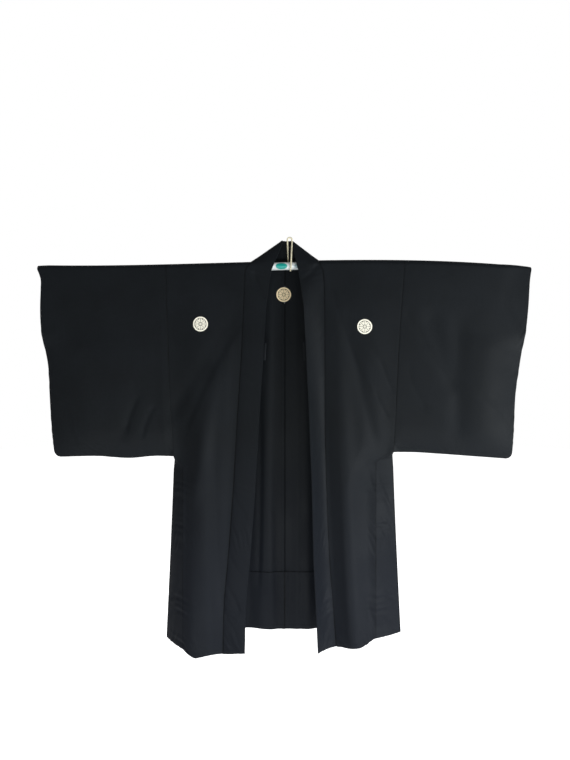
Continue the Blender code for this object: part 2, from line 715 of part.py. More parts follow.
def cord_points():
    """The doubled cord: down in front of the rod, under it, and up behind it to the top bend."""
    clear = ROD_RADIUS + CORD_RADIUS + CORD_CLEAR
    rest = rod_z(0.0)
    front = []
    for k in range(9):
        share = k / 8
        y = -clear * smooth(share * 1.25)
        x = between(CORD_BEND, CORD_REST_X, share)
        front.append(Vector((x, y, between(CORD_RADIUS - CORD_BEND, rest + CORD_RISE, share))))
    under = []
    for k in range(8):
        angle = math.radians(between(180, 345, k / 7))
        x = between(CORD_REST_X, CORD_END_X, k / 7)
        under.append(Vector((x, clear * math.cos(angle), rest + clear * math.sin(angle))))
    behind = [Vector((-point.x, -point.y, point.z)) for point in reversed(front)]
    top = CORD_RADIUS - CORD_BEND
    bend = []
    for k in range(1, 7):
        angle = math.pi * (1.0 - k / 7)
        bend.append(Vector((CORD_BEND * math.cos(angle), 0.0, top + CORD_BEND * math.sin(angle))))
    return behind + bend + front + under


def make_jacket():
    for old in list(bpy.context.scene.objects):
        bpy.data.objects.remove(old, do_unlink=True)
    jacket = bpy.data.collections.new("haori_on_rod")
    bpy.context.scene.collection.children.link(jacket)
    for side in ("left", "right"):
        make_body(side, jacket)
        make_sleeve(side, jacket)
        make_gusset(side, jacket)
        make_turnup(side, jacket)
        make_cord_loop(side, jacket)
    make_collar(jacket)
    make_rod(jacket)
    tube("hanging_cord", cord_points(), CORD_RADIUS, 2, BEIGE_CORD, jacket)


make_jacket()
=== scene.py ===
"""Men's unlined haori hung open on a rod: its cloth, crests, cord, rod and stage.

The wearer's left is +X, the fronts face -Y and +Z is up, in metres. The cloth follows the same
rules of form as its solids: two body lengths that run over the shoulder, two bag sleeves, two side
gussets, one doubled collar band, the turned-up back hem and two loops for the haori cord. Each is a
fine grid laid by its place across and down the cut, with the soft creases that hanging gives it.
"""

import math
from collections import namedtuple

import bpy
import numpy as np
from bpy.props import FloatProperty, FloatVectorProperty, PointerProperty
from bpy.types import Operator, Panel, PropertyGroup
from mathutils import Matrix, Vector


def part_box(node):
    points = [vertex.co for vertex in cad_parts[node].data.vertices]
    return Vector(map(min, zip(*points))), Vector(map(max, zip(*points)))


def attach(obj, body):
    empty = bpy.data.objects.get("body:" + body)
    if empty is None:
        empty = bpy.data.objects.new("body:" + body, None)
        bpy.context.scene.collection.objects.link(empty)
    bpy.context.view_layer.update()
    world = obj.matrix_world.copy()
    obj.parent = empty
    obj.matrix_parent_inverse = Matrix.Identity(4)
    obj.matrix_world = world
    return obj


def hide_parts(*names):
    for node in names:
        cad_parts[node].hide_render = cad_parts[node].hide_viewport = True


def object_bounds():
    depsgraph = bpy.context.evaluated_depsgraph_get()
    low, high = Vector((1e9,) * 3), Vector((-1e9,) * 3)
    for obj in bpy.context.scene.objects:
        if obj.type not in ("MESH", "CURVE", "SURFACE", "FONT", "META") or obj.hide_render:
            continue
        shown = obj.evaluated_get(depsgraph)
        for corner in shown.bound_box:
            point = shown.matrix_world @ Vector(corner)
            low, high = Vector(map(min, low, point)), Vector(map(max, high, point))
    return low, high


bl_info = {
    "name": "Haori on a rod",
    "version": (1, 0),
    "blender": (4, 5, 0),
    "location": "3D View > Sidebar > Haori",
    "description": "Lays the cloth of an unlined haori over its hanging rod",
    "category": "Object",
}

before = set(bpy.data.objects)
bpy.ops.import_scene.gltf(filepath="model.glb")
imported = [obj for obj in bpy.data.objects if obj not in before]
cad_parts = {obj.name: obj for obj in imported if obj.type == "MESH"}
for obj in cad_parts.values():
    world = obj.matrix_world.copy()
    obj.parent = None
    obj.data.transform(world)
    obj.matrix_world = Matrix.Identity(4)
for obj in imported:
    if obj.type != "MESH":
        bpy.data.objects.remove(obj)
CAD_BOX = [list(corner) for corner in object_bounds()]
ROD_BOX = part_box("rod")

# ---------------------------------------------------------------- driving sizes

SIDES = ("left", "right")
CLOTH = 0.0008  # thickness of the silk, with its folded edges
BAND_CLOTH = 0.0020  # the collar band is folded double
LOOP_CLOTH = 0.0009
LAP = 0.0010  # spacing of two layers that lie on each other
BAND_LAP = (BAND_CLOTH + CLOTH) / 2 + 0.0002  # the same for a layer inside the band
ALLOWANCE = 0.006  # width of a seam allowance, which lies inside
SEAM = 0.0003  # gap between two pieces at a seam
BAND_WIDTH = 0.057
BAND_INSET = 0.0008  # how far the band starts from its seam line
NECK_INSET = 0.0016  # the same at the neck, where the two meet at an angle

ROD_RADIUS = 0.010
ROD_ENDS = (ROD_BOX[0][0], ROD_BOX[1][0])
ROD_LEVEL = -0.070  # the rod's rough level, at which the edges by the shoulder are read
ROD_MIDDLE_Z = -0.0706
ROD_TILT = 0.0231
ROD_BOW = 0.0354
ROD_SKEW = 0.0705
ROD_ROUNDING = 0.002
FOLD_RADIUS = 0.0125  # middle of the cloth where it lies over the rod
END_RADIUS = 0.008  # the same at the cuffs, past the ends of the rod
END_EASE = 0.06  # the fold narrows over this distance past the rod's end
END_SLOPE = 0.02  # fall of the sleeve past the ends of the rod
END_DROOP = 0.9  # and its growth, per metre

CENTRE_X = -0.0128  # centre seam of the back
FRONT_HEM_DEPTH = 0.042  # how far the front hem stands in front of the rod
BACK_HEM_DEPTH = 0.034  # how far the back hem stands behind it
BODY_DROP = 0.95  # from the rod to the hem
HANG_CURVE = 1.3  # how late the fronts and the back start to stand away from the rod
SIDE_CURVE = 0.8  # how soon the sides do
SIDE_EASE = 0.085  # a panel reaches its full depth this far in from its outer edge
SHOULDER_EASE = 0.06  # folds start this far below the rod
GROOVE_EASE = 0.02  # and the seams' grooves this far
PUCKER_EASE = 0.03  # the sides' puckers start this far below the underarm
SKIRT_DROP = 0.46  # from the underarm to the hem
FRONT_STEP = 0.026  # the front's edge steps in to the gusset's seam over this height
BACK_STEP = 0.04  # and the back's edge out to the side over this one
TURN_ABOVE = 0.05  # the edge that depth is measured from starts its step this far above the underarm
TURN_DROP = 0.17  # and takes this height for it
# heights about a place over which the depth of its outer edge is averaged
SIDE_SOFTENING = (-0.036, -0.027, -0.018, -0.009, 0.0, 0.009, 0.018, 0.027, 0.036)
GUSSET_FRONT_HALF = 0.032  # half depths at the hem, at the two edges of the gusset
GUSSET_BACK_HALF = 0.012
GUSSET_FRONT_INSET = 0.0010  # how far the gusset starts from the front
GUSSET_BACK_INSET = 0.0042  # and stops short of the back
GUSSET_BULGE = 0.05  # share of its width by which it stands out
GUSSET_DROP = 0.0012  # its top edge is this far below the underarm's seam
SLEEVE_WIDTH = 0.31
SLEEVE_DEPTH = 0.48
SLEEVE_HALF = 0.0105  # half the space between the walls of a sleeve
SLEEVE_FLAT = 0.35  # share of its depth over which the round over the rod gives way to that space
CUFF_FLATTER = 0.2  # the hand opening is this share flatter
CUFF_FLAT_EASE = 0.3  # over this share of the depth
BOTTOM_REACH = 0.075  # the sleeve's walls part over this distance from the bottom seam
CUFF_REACH = 0.10  # and over this distance from the sewn part of the cuff
CUFF_CLOSING = 0.11  # share of the sleeve's depth over which the hand opening closes
CUFF_CORNER = 0.015  # radius of the sleeve's lower outer corner
CUFF_OPEN = 0.4387  # share of the sleeve's depth that is open for the hand
# shares of the sleeve's depth over which things start below the rod
SLEEVE_FOLD_EASE = 0.12
SLEEVE_ROUND_EASE = 0.2
SLEEVE_GROOVE_EASE = 0.04
SLEEVE_PUCKER_EASE = 0.1
SLEEVE_BOTTOM_EASE = 0.01  # and over which the body's depth ends above the bottom seam
UNDERARM_HALF = 0.005  # half the space between front and back under the arm
UNDERARM_EASE = 0.05  # the underarm's gap closes over this share of the sleeve's width
ARMHOLE_EASE = 0.06  # and the body's depth fades out over this one
TURNUP_TOP_Z = -0.858  # upper edge of the turned-up back hem
TURNUP_OFFSET = 0.0012  # the turn-up lies this far inside the back
TURNUP_RIDGE = 0.0011  # and stands out by this much more over the centre seam's allowance
TURNUP_EDGE = 0.0008  # and by this much at its folded upper edge
TURNUP_RIDGE_EASE = 0.006  # the ridge falls away over this distance
TURNUP_EDGE_EASE = 0.07  # the edge rises over this share of the turn-up's height
TURNUP_LIFT = 0.002  # its foot is this far above the hem
NECK_SAG = 0.0065  # how far the back neck stands away from the rod
NECK_EASE = 0.045  # over this distance in from each shoulder
NECK_DROP = 0.16  # and fading over this distance down the back
BAND_BACK_Y = 0.0155  # depth of the folded edge behind the middle of the neck
BAND_TAPER_Z = -0.60  # from here down the band's cross lines turn to follow its hem
BAND_TAPER = 0.44  # over this height
BAND_ROLL = {"left": 1.6, "right": 0.65}  # above 1 the band rolls at its fold, below 1 at its seam
BAND_SEWN = 0.15  # share of the band's width that its seam holds flat
BAND_PUCKER_Z = -0.45  # its puckers grow from here down
BAND_PUCKER_GROWTH = 0.4  # over this height
BAND_PUCKER_LEAST = 0.25  # and are this share of their full height above it
PEAK_STEP = 0.0045  # how far the back of the band starts behind its creased front
CREASE_SPAN = 5.0  # rows of the cut over which the band turns from its crease to hanging straight
CREASE_END = 3.0  # the row at which that turn ends
ROLL_ROWS = 1.5  # rows over which the band takes up its roll, before the end of that turn
CREASE_ROW = -2.0  # the row at which the band's front meets its back, over the rod
ROW_DEGREES = 45.0  # turn over the rod from one row to the next, for rows above the first
NECK_DEGREES = 45.0  # where the back of the band leaves the fold over the rod
BACK_DEGREES = 45.5  # the back's edge is turned up from here on
FRONT_DEGREES = 95.0  # and the front's allowance lies behind the band as far as here
ARC = np.linspace(180.0, 0.0, 17)[1:-1]  # angles of the cloth's rows over the rod

CORD_RADIUS = 0.002
CORD_BEND = 0.006  # radius of the cord's top bend
CORD_CLEAR = 0.0005  # gap between cord and rod
CORD_REST_X = 0.0032  # where its strands come down to the rod
CORD_END_X = 0.0008
CORD_RISE = 0.006  # its turn under the rod starts this far above the rod's middle
CORD_PLIES = 3
CORD_LAY = 0.009  # length of one turn of its plies
CORD_SPACING = 0.0008  # between its rings of points
CORD_SIDES = 24
LOOP_WIDTH = 0.006
LOOP_GAP = 0.0016  # half the space inside the folded loop
LOOP_LENGTH = 0.042
LOOP_CROWN = 0.0006  # how far the middle of its tape stands out
LOOP_INWARD = 0.001  # it hangs this far inside the band's folded edge
LOOP_TOP_Z = -0.268
LOOP_ROWS = (4.0, 5.0)  # rows of the cut that the loop hangs between
LOOP_BEHIND = 0.0014  # how far it lies behind the band
SEAM_SPREAD = 0.0014  # how far to each side a seam's groove spreads
SEAM_SHADE = 0.0010  # and how far it is shaded
SINK_FROM = 0.002  # half the space between front and back at which grooves start to sink in
SINK_EASE = 0.006  # they sink in fully where it is this much more
# dark colour painted along the seams as their shade
PAINTED_SEAM_SHADE = (0.0011, 0.0014, 0.0017)
GUSSET_SHADE = 0.3  # share of that shade along the gusset's seams
PAINTED_SHEEN = 0.75  # share of the painted sheen colour at the hem, where the cloth is painted lighter and bluer
PAINTED_SHEEN_HEIGHTS = (-0.90, -0.48)  # the painted sheen is full at the first height, and none at the second
CREST_LIFT = 0.00012  # the crests lie this far off the cloth
CREST_BACK_Z = -0.1410  # height of the crest on the back
CREST_CLEAR = 0.002  # the centre seam's allowance stops this far from it

# A fold fades out past its ends: shares of its length by which it runs on, and that it fades over.
FOLD_LEAD = 0.18
FOLD_TRAIL = 0.22
FOLD_FADE = 0.30

# ripples that a seam draws in the cloth: their height, and how far they reach from the seam
Pucker = namedtuple("Pucker", "height reach")
PUCKERS = {
    "sleeve foot": Pucker(0.0007, 0.012),
    "cuff": Pucker(0.0006, 0.010),
    "front side": Pucker(0.0011, 0.018),
    "front hem": Pucker(0.0017, 0.018),
    "back side": Pucker(0.0004, 0.012),
    "centre": Pucker(0.0002, 0.010),
    "band": Pucker(0.0011, 0.05),
    "gusset": Pucker(0.0012, 0.2),
}

# the rod's plain oval patch and the grey smear beside the cord, painted on its front
Oval = namedtuple("Oval", "x drop half_width half_height full clear")
PATCH = Oval(-0.0209, 0.0014, 0.0145, 0.0085, 0.94, 1.08)
SMEAR = Oval(0.0185, 0.002, 0.0080, 0.0060, 0.5, 1.3)
SMEAR_COLOUR = (0.17, 0.25, 0.27)

# shares of the way down at which the cut is marked: the sleeve's depth, then the skirt's
SLEEVE_MARKS = (0.0, 0.05, 0.12, 0.22, 0.33, CUFF_OPEN, 0.55, 0.67, 0.79, 0.89, 0.969, 0.991, 1.0)
SKIRT_MARKS = (0.05, 0.14, 0.26, 0.39, 0.52, 0.65, 0.78, 0.90, 1.0)
LEVELS = SLEEVE_MARKS + tuple(1.0 + share for share in SKIRT_MARKS)

# ---------------------------------------------------------------- tables of the cut

Edge = namedtuple("Edge", "z left right")
ARMHOLE = (
    Edge(-0.062, 0.2905, -0.3130),
    Edge(-0.130, 0.2862, -0.3128),
    Edge(-0.250, 0.2776, -0.3090),
    Edge(-0.410, 0.2700, -0.3037),
    Edge(-0.556, 0.2632, -0.2945),
)
CUFF = (
    Edge(-0.070, 0.6153, -0.6440),
    Edge(-0.112, 0.6090, -0.6305),
    Edge(-0.188, 0.6040, -0.6328),
    Edge(-0.244, 0.5985, -0.6300),
    Edge(-0.330, 0.5850, -0.6155),
    Edge(-0.410, 0.5748, -0.6115),
    Edge(-0.490, 0.5715, -0.6065),
    Edge(-0.560, 0.5665, -0.5985),
)
GUSSET_SEAM = (
    Edge(-0.556, 0.2180, -0.2712),
    Edge(-0.780, 0.2165, -0.2690),
    Edge(-1.030, 0.2140, -0.2660),
)
SIDE_EDGE = (
    Edge(-0.550, 0.2640, -0.2955),
    Edge(-0.700, 0.2700, -0.3015),
    Edge(-1.020, 0.2858, -0.3165),
)
COLLAR_SEAM = (
    Edge(-0.056, 0.0720, -0.0970),
    Edge(-0.068, 0.0765, -0.1040),
    Edge(-0.087, 0.0848, -0.1135),
    Edge(-0.135, 0.0876, -0.1152),
    Edge(-0.280, 0.0886, -0.1215),
    Edge(-0.452, 0.0888, -0.1322),
    Edge(-0.634, 0.0925, -0.1422),
    Edge(-0.795, 0.0990, -0.1537),
    Edge(-0.935, 0.1092, -0.1650),
    Edge(-1.040, 0.1165, -0.1670),
)
# how far the band's folded edge stands behind its seam; less than nothing is in front of it
BAND_LEAN = (
    Edge(-0.070, -0.0010, -0.0005),
    Edge(-0.130, -0.0130, -0.0035),
    Edge(-0.280, -0.0285, -0.0090),
    Edge(-0.510, -0.0405, -0.0115),
    Edge(-0.630, -0.0420, -0.0120),
    Edge(-0.825, -0.0385, -0.0125),
    Edge(-1.035, -0.0320, -0.0120),
)
Peak = namedtuple("Peak", "z left_x right_x y")
PEAK = (
    Peak(-0.0038, 0.0050, -0.0184, 0.0080),
    Peak(-0.0110, 0.0062, -0.0190, 0.0030),
    Peak(-0.0360, 0.0108, -0.0275, -0.0060),
    Peak(-0.0628, 0.0160, -0.0380, -0.0130),
    Peak(-0.0850, 0.0215, -0.0462, -0.0150),
)
Bottom = namedtuple("Bottom", "across left right")
SLEEVE_BOTTOM = (
    Bottom(0.00, -0.5448, -0.5555),
    Bottom(0.15, -0.5450, -0.5545),
    Bottom(0.40, -0.5490, -0.5598),
    Bottom(0.70, -0.5552, -0.5548),
    Bottom(1.00, -0.5615, -0.5568),
)
FRONT_HEM = (  # from the collar seam out to the gusset
    Bottom(0.00, -1.0235, -1.0440),
    Bottom(0.35, -1.0225, -1.0430),
    Bottom(0.66, -1.0210, -1.0480),
    Bottom(0.84, -1.0140, -1.0410),
    Bottom(1.00, -1.0065, -1.0315),
)
BAND_HEM = (  # from the collar seam to the folded edge
    Bottom(0.00, -1.0235, -1.0440),
    Bottom(1.00, -1.0265, -1.0380),
)
BACK_HEM = (  # from the centre seam out to the side
    Bottom(0.00, -1.0100, -1.0100),
    Bottom(0.50, -1.0068, -1.0055),
    Bottom(1.00, -1.0080, -1.0205),
)

# A fold runs from its top to its foot. A rise towards the front is above nothing. Its bow is how
# far its middle swings aside, and its lean makes one flank steeper than the other.
Fold = namedtuple(
    "Fold", "top_x top_z foot_x foot_z width top_rise foot_rise bow lean", defaults=(0.0, 0.0)
)
FRONT_FOLDS = (
    Fold(-0.2280, -0.400, -0.2420, -1.080, 0.036, 0.004, 0.0145),
    Fold(-0.1320, -0.360, -0.1690, -1.080, 0.028, -0.004, -0.007),
    Fold(-0.1290, -0.183, -0.2850, -0.431, 0.022, -0.0016, -0.0024),
    Fold(-0.1840, -0.344, -0.2370, -0.640, 0.022, 0.004, 0.005),
    Fold(0.1180, -0.260, 0.1640, -1.060, 0.030, 0.005, 0.018),
    Fold(0.0830, -0.400, 0.1080, -1.060, 0.018, -0.004, -0.007),
    Fold(0.1440, -0.224, 0.2105, -0.500, 0.014, -0.0022, -0.0034),
    Fold(0.3550, -0.200, 0.4100, -0.370, 0.022, -0.003, -0.003),
    Fold(0.5000, -0.180, 0.4900, -0.480, 0.040, 0.0012, 0.0014),
    Fold(0.4270, -0.220, 0.4270, -0.500, 0.024, -0.003, -0.004),
    Fold(-0.3900, -0.380, -0.4250, -0.510, 0.020, -0.0014, -0.0022),
)
BACK_FOLDS = (
    Fold(-0.0560, -0.180, -0.0640, -1.060, 0.026, 0.003, 0.008),
    Fold(0.0420, -0.220, 0.0500, -1.060, 0.024, 0.003, 0.007),
    Fold(-0.1500, -0.260, -0.1750, -1.060, 0.034, -0.004, -0.012),
    Fold(0.1420, -0.240, 0.1650, -1.060, 0.032, -0.004, -0.011),
    Fold(-0.2300, -0.400, -0.2450, -1.060, 0.026, 0.003, 0.007),
    Fold(0.2150, -0.450, 0.2250, -1.060, 0.026, 0.003, 0.006),
    Fold(0.3900, -0.140, 0.4200, -0.500, 0.030, -0.003, -0.004),
    Fold(-0.4700, -0.140, -0.4900, -0.500, 0.034, -0.003, -0.004),
)
# the finer creases, which only the cloth itself has
FRONT_CREASES = (
    # wearer's right front
    Fold(-0.1350, -0.420, -0.1680, -1.050, 0.012, -0.0010, -0.0030, 0.0, 0.2),
    Fold(-0.2120, -0.480, -0.2050, -1.050, 0.014, 0.0006, 0.0032, 0.004, 0.3),
    Fold(-0.1480, -0.250, -0.1640, -0.450, 0.009, 0.0006, 0.0008, 0.003, 0.2),
    Fold(-0.1370, -0.234, -0.2540, -0.463, 0.011, -0.0012, -0.0018, 0.006, 0.3),
    Fold(-0.1850, -0.470, -0.1720, -0.900, 0.010, -0.0008, -0.0016, 0.006, 0.2),
    Fold(-0.2620, -0.620, -0.2680, -1.060, 0.016, -0.0008, -0.0040, 0.003, 0.2),
    Fold(-0.2925, -0.553, -0.2590, -0.604, 0.006, -0.0014, -0.0008, 0.003, 0.3),
    # wearer's left front
    Fold(0.1080, -0.280, 0.1360, -1.040, 0.014, -0.0006, -0.0020, 0.004, 0.3),
    Fold(0.1720, -0.430, 0.1960, -1.040, 0.022, 0.0008, 0.0010, 0.004, 0.3),
    Fold(0.1030, -0.119, 0.2050, -0.400, 0.009, -0.0010, -0.0014, 0.008, 0.3),
    Fold(0.1300, -0.130, 0.2380, -0.330, 0.009, -0.0006, -0.0010, 0.006, 0.2),
    Fold(0.2175, -0.392, 0.2456, -0.451, 0.006, -0.0012, -0.0010, 0.002, 0.3),
    Fold(0.2300, -0.310, 0.2610, -0.387, 0.006, -0.0008, -0.0012, 0.003, 0.3),
    Fold(0.1950, -0.560, 0.2040, -1.040, 0.010, -0.0004, -0.0010, 0.004, -0.3),
    Fold(0.2010, -0.600, 0.2220, -0.655, 0.006, -0.0010, -0.0016, 0.002, 0.3),
    Fold(0.1960, -0.735, 0.2200, -0.800, 0.007, -0.0008, -0.0016, 0.003, 0.3),
    Fold(0.1900, -0.900, 0.2180, -0.985, 0.008, -0.0010, -0.0018, 0.004, 0.3),
    # wearer's left sleeve
    Fold(0.2940, -0.185, 0.3450, -0.272, 0.009, -0.0006, -0.0007, 0.004, 0.2),
    Fold(0.3270, -0.234, 0.4060, -0.366, 0.010, -0.0006, -0.0009, 0.006, 0.2),
    Fold(0.3000, -0.330, 0.3420, -0.430, 0.010, -0.0006, -0.0012, 0.005, 0.2),
    Fold(0.4820, -0.402, 0.5640, -0.496, 0.009, -0.0008, -0.0013, -0.006, 0.2),
    Fold(0.5160, -0.400, 0.5670, -0.452, 0.008, -0.0005, -0.0010, -0.003, 0.2),
    Fold(0.5430, -0.150, 0.5850, -0.250, 0.012, -0.0004, -0.0008, 0.004, 0.2),
    # wearer's right sleeve
    Fold(-0.3850, -0.405, -0.4140, -0.486, 0.007, -0.0014, -0.0022, 0.003, 0.3),
    Fold(-0.3450, -0.430, -0.3730, -0.500, 0.007, -0.0014, -0.0022, 0.003, 0.3),
    Fold(-0.3250, -0.200, -0.3160, -0.530, 0.009, 0.0006, 0.0012, 0.002, 0.2),
    Fold(-0.5480, -0.157, -0.4960, -0.463, 0.030, 0.0010, 0.0022, 0.010, 0.2),
    Fold(-0.5750, -0.420, -0.5450, -0.520, 0.009, -0.0006, -0.0014, 0.004, 0.2),
)
BACK_CREASES = (
    Fold(-0.0500, -0.150, -0.0450, -0.990, 0.010, 0.0014, 0.0034, 0.004, 0.2),
    Fold(-0.0750, -0.420, -0.0790, -0.850, 0.007, -0.0012, -0.0026, -0.002, 0.2),
    Fold(0.0130, -0.160, 0.0170, -1.000, 0.010, 0.0014, 0.0030, -0.004, 0.2),
    Fold(0.0600, -0.300, 0.0720, -1.020, 0.012, -0.0010, -0.0026, 0.005, 0.3),
    Fold(-0.1050, -0.260, -0.1180, -1.020, 0.013, 0.0008, 0.0028, 0.006, 0.3),
    Fold(-0.2000, -0.180, -0.2700, -0.440, 0.014, -0.0010, -0.0018, 0.008, 0.3),
    Fold(0.1750, -0.180, 0.2350, -0.430, 0.013, -0.0010, -0.0018, -0.008, 0.3),
    Fold(0.1900, -0.560, 0.2000, -1.030, 0.013, -0.0008, -0.0030, 0.004, 0.2),
    Fold(-0.2150, -0.620, -0.2080, -1.030, 0.012, -0.0008, -0.0026, -0.005, 0.2),
    Fold(0.3250, -0.260, 0.3550, -0.500, 0.010, -0.0008, -0.0018, 0.005, 0.3),
    Fold(0.4950, -0.150, 0.5200, -0.420, 0.013, 0.0010, 0.0016, -0.005, 0.2),
    Fold(-0.3700, -0.250, -0.3900, -0.520, 0.011, -0.0010, -0.0020, 0.004, 0.3),
    Fold(-0.5450, -0.200, -0.5600, -0.480, 0.013, 0.0010, 0.0016, 0.004, 0.2),
)
BAND_CREASES = (
    Fold(-0.0910, -0.092, -0.0640, -0.150, 0.006, -0.0026, -0.0014, 0.002, 0.3),
    Fold(0.0280, -0.112, 0.0690, -0.072, 0.006, -0.0010, -0.0014, 0.002, 0.3),
    Fold(-0.1460, -0.640, -0.1100, -0.700, 0.006, -0.0008, -0.0014, 0.003, 0.3),
    Fold(-0.1560, -0.790, -0.1200, -0.845, 0.006, -0.0014, -0.0010, 0.003, 0.3),
    Fold(-0.1600, -0.870, -0.1270, -0.930, 0.005, -0.0010, -0.0016, -0.002, 0.3),
    Fold(-0.1620, -0.948, -0.1350, -0.985, 0.005, -0.0014, -0.0008, 0.002, 0.3),
    Fold(-0.1620, -1.002, -0.1290, -1.036, 0.004, -0.0018, -0.0020, 0.001, 0.3),
    Fold(0.1000, -0.870, 0.0760, -0.920, 0.006, -0.0008, -0.0012, 0.003, 0.3),
    Fold(0.1060, -0.960, 0.0800, -1.000, 0.005, -0.0010, -0.0008, 0.002, 0.3),
)
GUSSET_CREASES = (
    Fold(0.2180, -0.590, 0.2680, -0.706, 0.006, -0.0018, -0.0022, 0.004, 0.3),
    Fold(0.2160, -0.700, 0.2660, -0.790, 0.007, -0.0014, -0.0020, -0.004, 0.3),
    Fold(0.2180, -0.835, 0.2720, -0.925, 0.006, -0.0016, -0.0014, 0.003, 0.3),
    Fold(0.2200, -0.945, 0.2780, -1.000, 0.006, -0.0012, -0.0020, 0.003, 0.3),
    Fold(-0.2700, -0.610, -0.3000, -0.700, 0.006, -0.0014, -0.0018, 0.003, 0.3),
    Fold(-0.2700, -0.850, -0.3080, -0.940, 0.007, -0.0014, -0.0018, -0.003, 0.3),
)

# a crest's middle, the wall that it is on, and 1 on that wall's outside or -1 on its inside
Crest = namedtuple("Crest", "name panel side x z outward")
CRESTS = (
    Crest("crest_chest_left", "front", "left", 0.1893, -0.2265, 1),
    Crest("crest_chest_right", "front", "right", -0.2254, -0.2200, 1),
    Crest("crest_back", "back", "centre", -0.0153, CREST_BACK_Z, 1),
    Crest("crest_back_inside", "back", "centre", -0.0153, CREST_BACK_Z, -1),
    Crest("crest_sleeve_left", "sleeve", "left", 0.4420, -0.1495, 1),
    Crest("crest_sleeve_right", "sleeve", "right", -0.4677, -0.1495, 1),
)


# ---------------------------------------------------------------- what a user would change


def length_setting(name, description, default):
    return FloatProperty(name=name, description=description, default=default, unit="LENGTH")


def colour_setting(name, description, default):
    return FloatVectorProperty(name=name, description=description, subtype="COLOR", default=default)


class HaoriSizes(PropertyGroup):
    thread: length_setting("Thread", "Pitch of the weave", 0.00042)
    crest: length_setting("Crest", "Diameter of a crest", 0.038)
    groove: length_setting("Seam groove", "How far a seam sinks in", 0.0003)


class HaoriColours(PropertyGroup):
    silk: colour_setting("Silk", "Colour of the cloth", (0.0042, 0.0051, 0.0060))
    silk_light: colour_setting("Silk slub", "Its paler threads", (0.0066, 0.0080, 0.0100))
    # painted sheen: a lighter, bluer colour painted toward the hem in place of the light that falls
    # there
    silk_painted_sheen: colour_setting("Silk faded", "The cloth toward the hem", (0.0078, 0.0092, 0.0138))
    crest: colour_setting("Crest", "Undyed silk of the crests", (0.92, 0.86, 0.72))
    crest_inside: colour_setting("Crest inside", "The crest seen through", (0.90, 0.72, 0.46))
    rod: colour_setting("Rod", "Colour of the rod", (0.66, 0.68, 0.67))
    patch: colour_setting("Patch", "Plain oval patch on the rod", (0.0, 0.26, 0.22))
    cord: colour_setting("Cord", "Colour of the cord", (0.78, 0.70, 0.50))


# ---------------------------------------------------------------- curves and blends


def smooth(share):
    """0 to 1 with level ends."""
    share = np.clip(share, 0.0, 1.0)
    return share * share * (3.0 - 2.0 * share)


def between(low, high, share):
    return low + (high - low) * share


def eased(stations, values, at):
    """A smooth curve through the values, with no bumps between them (monotone cubic)."""
    stations, values = np.array(stations, dtype=float), np.array(values, dtype=float)
    if stations[0] > stations[-1]:
        stations, values = stations[::-1], values[::-1]
    steps = np.diff(stations)
    slopes = np.diff(values) / steps
    tangents = np.zeros(len(values))
    tangents[0], tangents[-1] = slopes[0], slopes[-1]
    for i in range(1, len(slopes)):
        if slopes[i - 1] * slopes[i] > 0:
            tangents[i] = 2.0 / (1.0 / slopes[i - 1] + 1.0 / slopes[i])
    at = np.clip(at, stations[0], stations[-1])
    i = np.clip(np.searchsorted(stations, at) - 1, 0, len(steps) - 1)
    u = (at - stations[i]) / steps[i]
    return (
        (1 + 2 * u) * (1 - u) ** 2 * values[i]
        + u * (1 - u) ** 2 * steps[i] * tangents[i]
        + u * u * (3 - 2 * u) * values[i + 1]
        + u * u * (u - 1) * steps[i] * tangents[i + 1]
    )


def edge_x(table, side, z):
    """Place of an edge at a height. A table's first column is what it is read by."""
    return eased([row[0] for row in table], [getattr(row, side) for row in table], z)


def bottom_z(table, side, across):
    """Height of a bottom edge at a share of the way across it."""
    return edge_x(table, side, across)


def raised(folds, x, z):
    """How far the folds bring the cloth forward at each place."""
    total = np.zeros(np.broadcast(x, z).shape)
    for fold in folds:
        run_x, run_z = fold.foot_x - fold.top_x, fold.foot_z - fold.top_z
        length = math.hypot(run_x, run_z)
        out_x, out_z = x - fold.top_x, z - fold.top_z
        along = (out_x * run_x + out_z * run_z) / length**2
        aside = (out_x * run_z - out_z * run_x) / length
        aside = aside - fold.bow * (1.0 - (2.0 * along - 1.0) ** 2)
        ends = smooth((along + FOLD_LEAD) / FOLD_FADE)
        ends = ends * smooth((1.0 + FOLD_TRAIL - along) / FOLD_FADE)
        rise = between(fold.top_rise, fold.foot_rise, np.clip(along, 0.0, 1.0))
        width = fold.width * (1.0 + fold.lean * np.tanh(aside / fold.width))
        total += rise * ends * np.exp(-((aside / width) ** 2))
    return total


def groove(distance):
    """How far a seam draws the cloth in, at a distance from the seam."""
    return bpy.context.scene.haori_sizes.groove * np.exp(-((distance / SEAM_SPREAD) ** 2))


def open_enough(half):
    """Nothing sinks in where front and back nearly meet."""
    return np.clip((np.abs(half) - SINK_FROM) / SINK_EASE, 0.0, 1.0)


def puckers(seam, along, away):
    """Small uneven ripples that run aslant out from a seam, now stronger and now fainter."""
    height, reach = PUCKERS[seam]
    swell = 0.55 + 0.45 * np.sin(47.0 * along + 1.3 * np.sin(19.0 * along))
    slanted = along + away * (1.1 + 0.7 * np.sin(23.0 * along + 0.7))
    ripple = np.sin(290.0 * slanted + 2.3 * np.sin(61.0 * along)) + 0.6 * np.sin(173.0 * slanted + 2.1)
    return height * swell * ripple * np.exp(-np.abs(away) / reach)


def place(x, y, z):
    return np.stack(np.broadcast_arrays(x, y, z), axis=-1)


# ---------------------------------------------------------------- the rod's line and the fold over it


def rod_z(x):
    return ROD_MIDDLE_Z + ROD_TILT * x - ROD_BOW * x**2 - ROD_SKEW * x**3


def past_rod(x):
    """How far a place lies past the rod's nearer end."""
    return np.maximum(np.maximum(ROD_ENDS[0] - x, x - ROD_ENDS[1]), 0.0)


def fold_radius(x):
    return between(FOLD_RADIUS, END_RADIUS, smooth(past_rod(x) / END_EASE))


